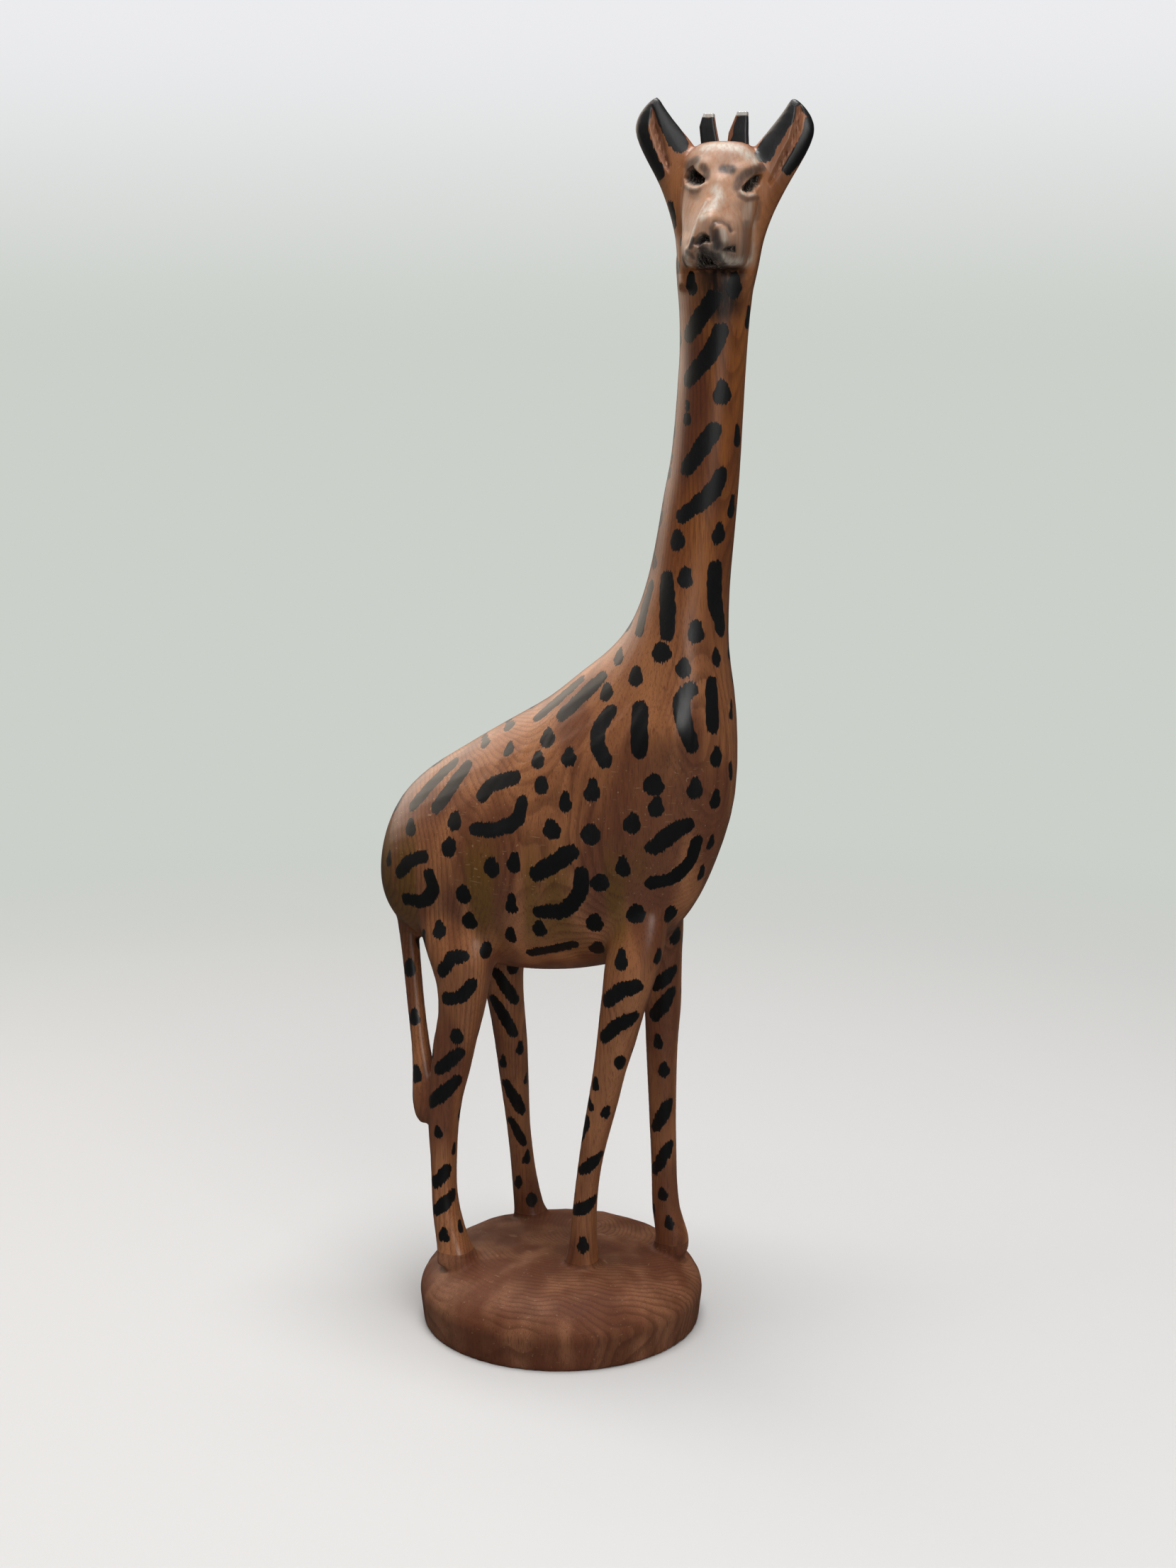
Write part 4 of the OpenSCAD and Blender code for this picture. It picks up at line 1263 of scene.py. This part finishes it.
def makeWood(name, look, ink):
    material = bpy.data.materials.new(name)
    material.use_nodes = True
    tree = material.node_tree
    tree.nodes.clear()
    output = addNode(tree, "OutputMaterial")
    here = addNode(tree, "TexCoord").outputs["Object"]
    place = addNode(tree, "Mapping", {"Vector": here, "Scale": (1 / mm, 1 / mm, 1 / mm)}).outputs[0]
    broad, fibre, fine = (stretched(tree, place, *noises[kind]) for kind in ("broad", "fibre", "fine"))
    colour = woodColour(tree, place, look, broad, fibre, fine)
    relief = plus(tree, times(tree, fibre, figure["fibreDepth"]), times(tree, fine, figure["fineDepth"]))
    rough = times(tree, broad, figure["broadRough"])
    rough = plus(tree, rough, look["roughness"] - figure["broadRough"] / 2)
    if "hollow" in look:
        # the hollows take their own colour; on the face this is partly painted shade
        deep = spread(tree, attribute(tree, look["layer"]), *spans["deep"])
        torn = spread(tree, stretched(tree, place, *noises["torn"]), *spans["torn"], 0.0, look["torn"])
        inside = blendColour(tree, torn, look["hollow"], look["tornColour"])
        colour = blendColour(tree, deep, colour, inside)
        rough = plus(tree, rough, times(tree, deep, figure["hollowRough"]))
    if look["painted"]:
        painted = spread(tree, brushEdge(tree, place, ink), *spans["painted"])
        if "hollow" in look:  # the brush skips over the hollows
            painted = times(tree, painted, calc(tree, "SUBTRACT", 1.0, deep))
        wear = spread(tree, plus(tree, fine, times(tree, broad, figure["broadWear"])), *spans["wear"])
        colour = blendColour(tree, painted, colour, blendColour(tree, wear, ink["colour"], ink["worn"]))
        rough = plus(tree, rough, times(tree, painted, ink["roughness"] - look["roughness"]))
        relief = plus(tree, relief, times(tree, painted, ink["relief"]))
    if "waxAndHighlight" in look:
        # whitish wax and painted highlights laid over the colour
        waxAndHighlightShare = calc(tree, "MULTIPLY", attribute(tree, "waxAndHighlight"), patch(tree, place, "streaks"), clamp=True)
        colour = blendColour(tree, waxAndHighlightShare, colour, look["waxAndHighlight"])
    if "blackSmearAndShade" in look:  # black rubbed thin with the brush, and painted shade beside the nose
        blackSmearAndShade = times(tree, attribute(tree, "blackSmearAndShade"), patch(tree, place, "thin"))
        colour = blendColour(tree, blackSmearAndShade, colour, look["blackSmearAndShade"])
    bump = addNode(tree, "Bump", {"Height": relief, "Distance": look["bump"], "Strength": 1.0}).outputs[0]
    shader = addNode(tree, "BsdfPrincipled", {"Base Color": colour, "Roughness": rough, "Normal": bump})
    shader.inputs["Specular IOR Level"].default_value = look["shine"]
    tree.links.new(shader.outputs[0], output.inputs[0])
    return material


finishes = {
    "base_wood": makeWood("chiselledWood", baseLook, inkLook),
    "spotted_wood": makeWood("spottedWood", woodLook, inkLook),
    "face_wood": makeWood("faceWood", faceLook, inkLook),
    "ear_wood": makeWood("earWood", earLook, inkLook),
    "horn_paint": makeWood("hornWood", hornLook, inkLook),
}
placing = {
    "base": ("base", "base_wood"), "torso": ("torso", "spotted_wood"), "neck": ("neck", "spotted_wood"),
    "head": ("head", "face_wood"), "earRight": ("ear_right", "ear_wood"),
    "earLeft": ("ear_left", "ear_wood"),
    "hornRight": ("horn_right", "horn_paint"), "hornLeft": ("horn_left", "horn_paint"),
    "legFrontRight": ("leg_front_right", "spotted_wood"),
    "legFrontLeft": ("leg_front_left", "spotted_wood"),
    "legHindRight": ("leg_hind_right", "spotted_wood"), "legHindLeft": ("leg_hind_left", "spotted_wood"),
    "tail": ("tail", "spotted_wood"),
}
for name, (node, slot) in placing.items():
    part = parts[name]
    part.name = name + "Carved"
    part.data.materials.clear()
    part.data.materials.append(finishes[slot])
    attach(part, "root")
    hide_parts(node)
print("finishes on:", len(placing), "pieces")

studio = {
    "floorReach": 6,
    "floorRoughness": 0.7,
    "floor": (0.68, 0.68, 0.68),
    "floorBounce": (0.42, 0.41, 0.4),  # the floor as the carving sees it
    "wallSpill": 0.3,         # how much of the wall's glow falls on the carving
    "lights": {  # place, aimed at, size, power, colour, whether it lights as well as shines
        "overhead": ((0, -0.1, 2.3), (0, 0, 0.2), 1.4, 58, (1, 0.985, 0.97), True),
        "right": ((1.0, -0.95, 0.9), (0, 0, 0.3), 0.8, 6.5, (1, 0.98, 0.96), True),
        "sheen": ((-1.25, 0.4, 1.1), (0, 0, 0.3), 1.7, 23, (1, 0.86, 0.72), False),
    },
    "wall": (0.6, 0.63, 0.59),
    "top": (0.84, 0.84, 0.86),
    "wallFrom": (0.38, 1.0),  # the floor turns into the lit wall over this distance
    "horizon": (-0.02, 0.13),  # the wall turns into the top between these rises
    "roomLight": 0.07,
}


def makeFloor(room):
    bpy.ops.object.select_all(action="DESELECT")
    bpy.ops.mesh.primitive_circle_add(vertices=96, radius=room["floorReach"], fill_type="NGON")
    floor = bpy.context.object
    floor.name = "floor"
    material = bpy.data.materials.new("palePaper")
    material.use_nodes = True
    tree = material.node_tree
    shader = tree.nodes["Principled BSDF"]
    here = addNode(tree, "TexCoord").outputs["Object"]
    reach = addNode(tree, "VectorMath", {0: here}, operation="LENGTH").outputs["Value"]
    seen = addNode(tree, "LightPath").outputs["Is Camera Ray"]
    tree.links.new(blendColour(tree, seen, room["floorBounce"], room["floor"]), shader.inputs["Base Color"])
    shader.inputs["Roughness"].default_value = room["floorRoughness"]
    glow = spread(tree, seen, 0.0, 1.0, room["wallSpill"], 1.0)
    wall = addNode(tree, "Emission", {"Color": (*room["wall"], 1), "Strength": glow})
    share = spread(tree, reach, *room["wallFrom"])
    both = addNode(tree, "MixShader", {0: share, 1: shader.outputs[0], 2: wall.outputs[0]})
    tree.links.new(both.outputs[0], tree.nodes["Material Output"].inputs[0])
    floor.data.materials.append(material)
    floor.visible_glossy = False  # keeps its glare off the sides of the carving


def addLight(name, place, target, size, power, colour, lights):
    bpy.ops.object.light_add(type="AREA", location=place)
    light = bpy.context.object
    light.name = name
    light.rotation_euler = (Vector(target) - Vector(place)).to_track_quat("-Z", "Y").to_euler()
    light.data.size = size
    light.data.energy = power
    light.data.color = colour
    light.visible_camera = False
    light.visible_diffuse = lights


def makeRoom(room):
    world = bpy.data.worlds.new("studio")
    bpy.context.scene.world = world
    world.use_nodes = True
    tree = world.node_tree
    background = tree.nodes["Background"]
    way = addNode(tree, "TexCoord").outputs["Generated"]
    rise = addNode(tree, "SeparateXYZ", {0: way}).outputs[2]
    backdrop = blendColour(tree, spread(tree, rise, *room["horizon"]), room["wall"], room["top"])
    tree.links.new(backdrop, background.inputs["Color"])
    seen = addNode(tree, "LightPath").outputs["Is Camera Ray"]
    strength = spread(tree, seen, 0.0, 1.0, room["roomLight"], 1.0)
    tree.links.new(strength, background.inputs["Strength"])


makeFloor(studio)
for name, settings in studio["lights"].items():
    addLight(name, *settings)
makeRoom(studio)
bpy.context.scene.view_settings.view_transform = "Standard"
print("studio ready")
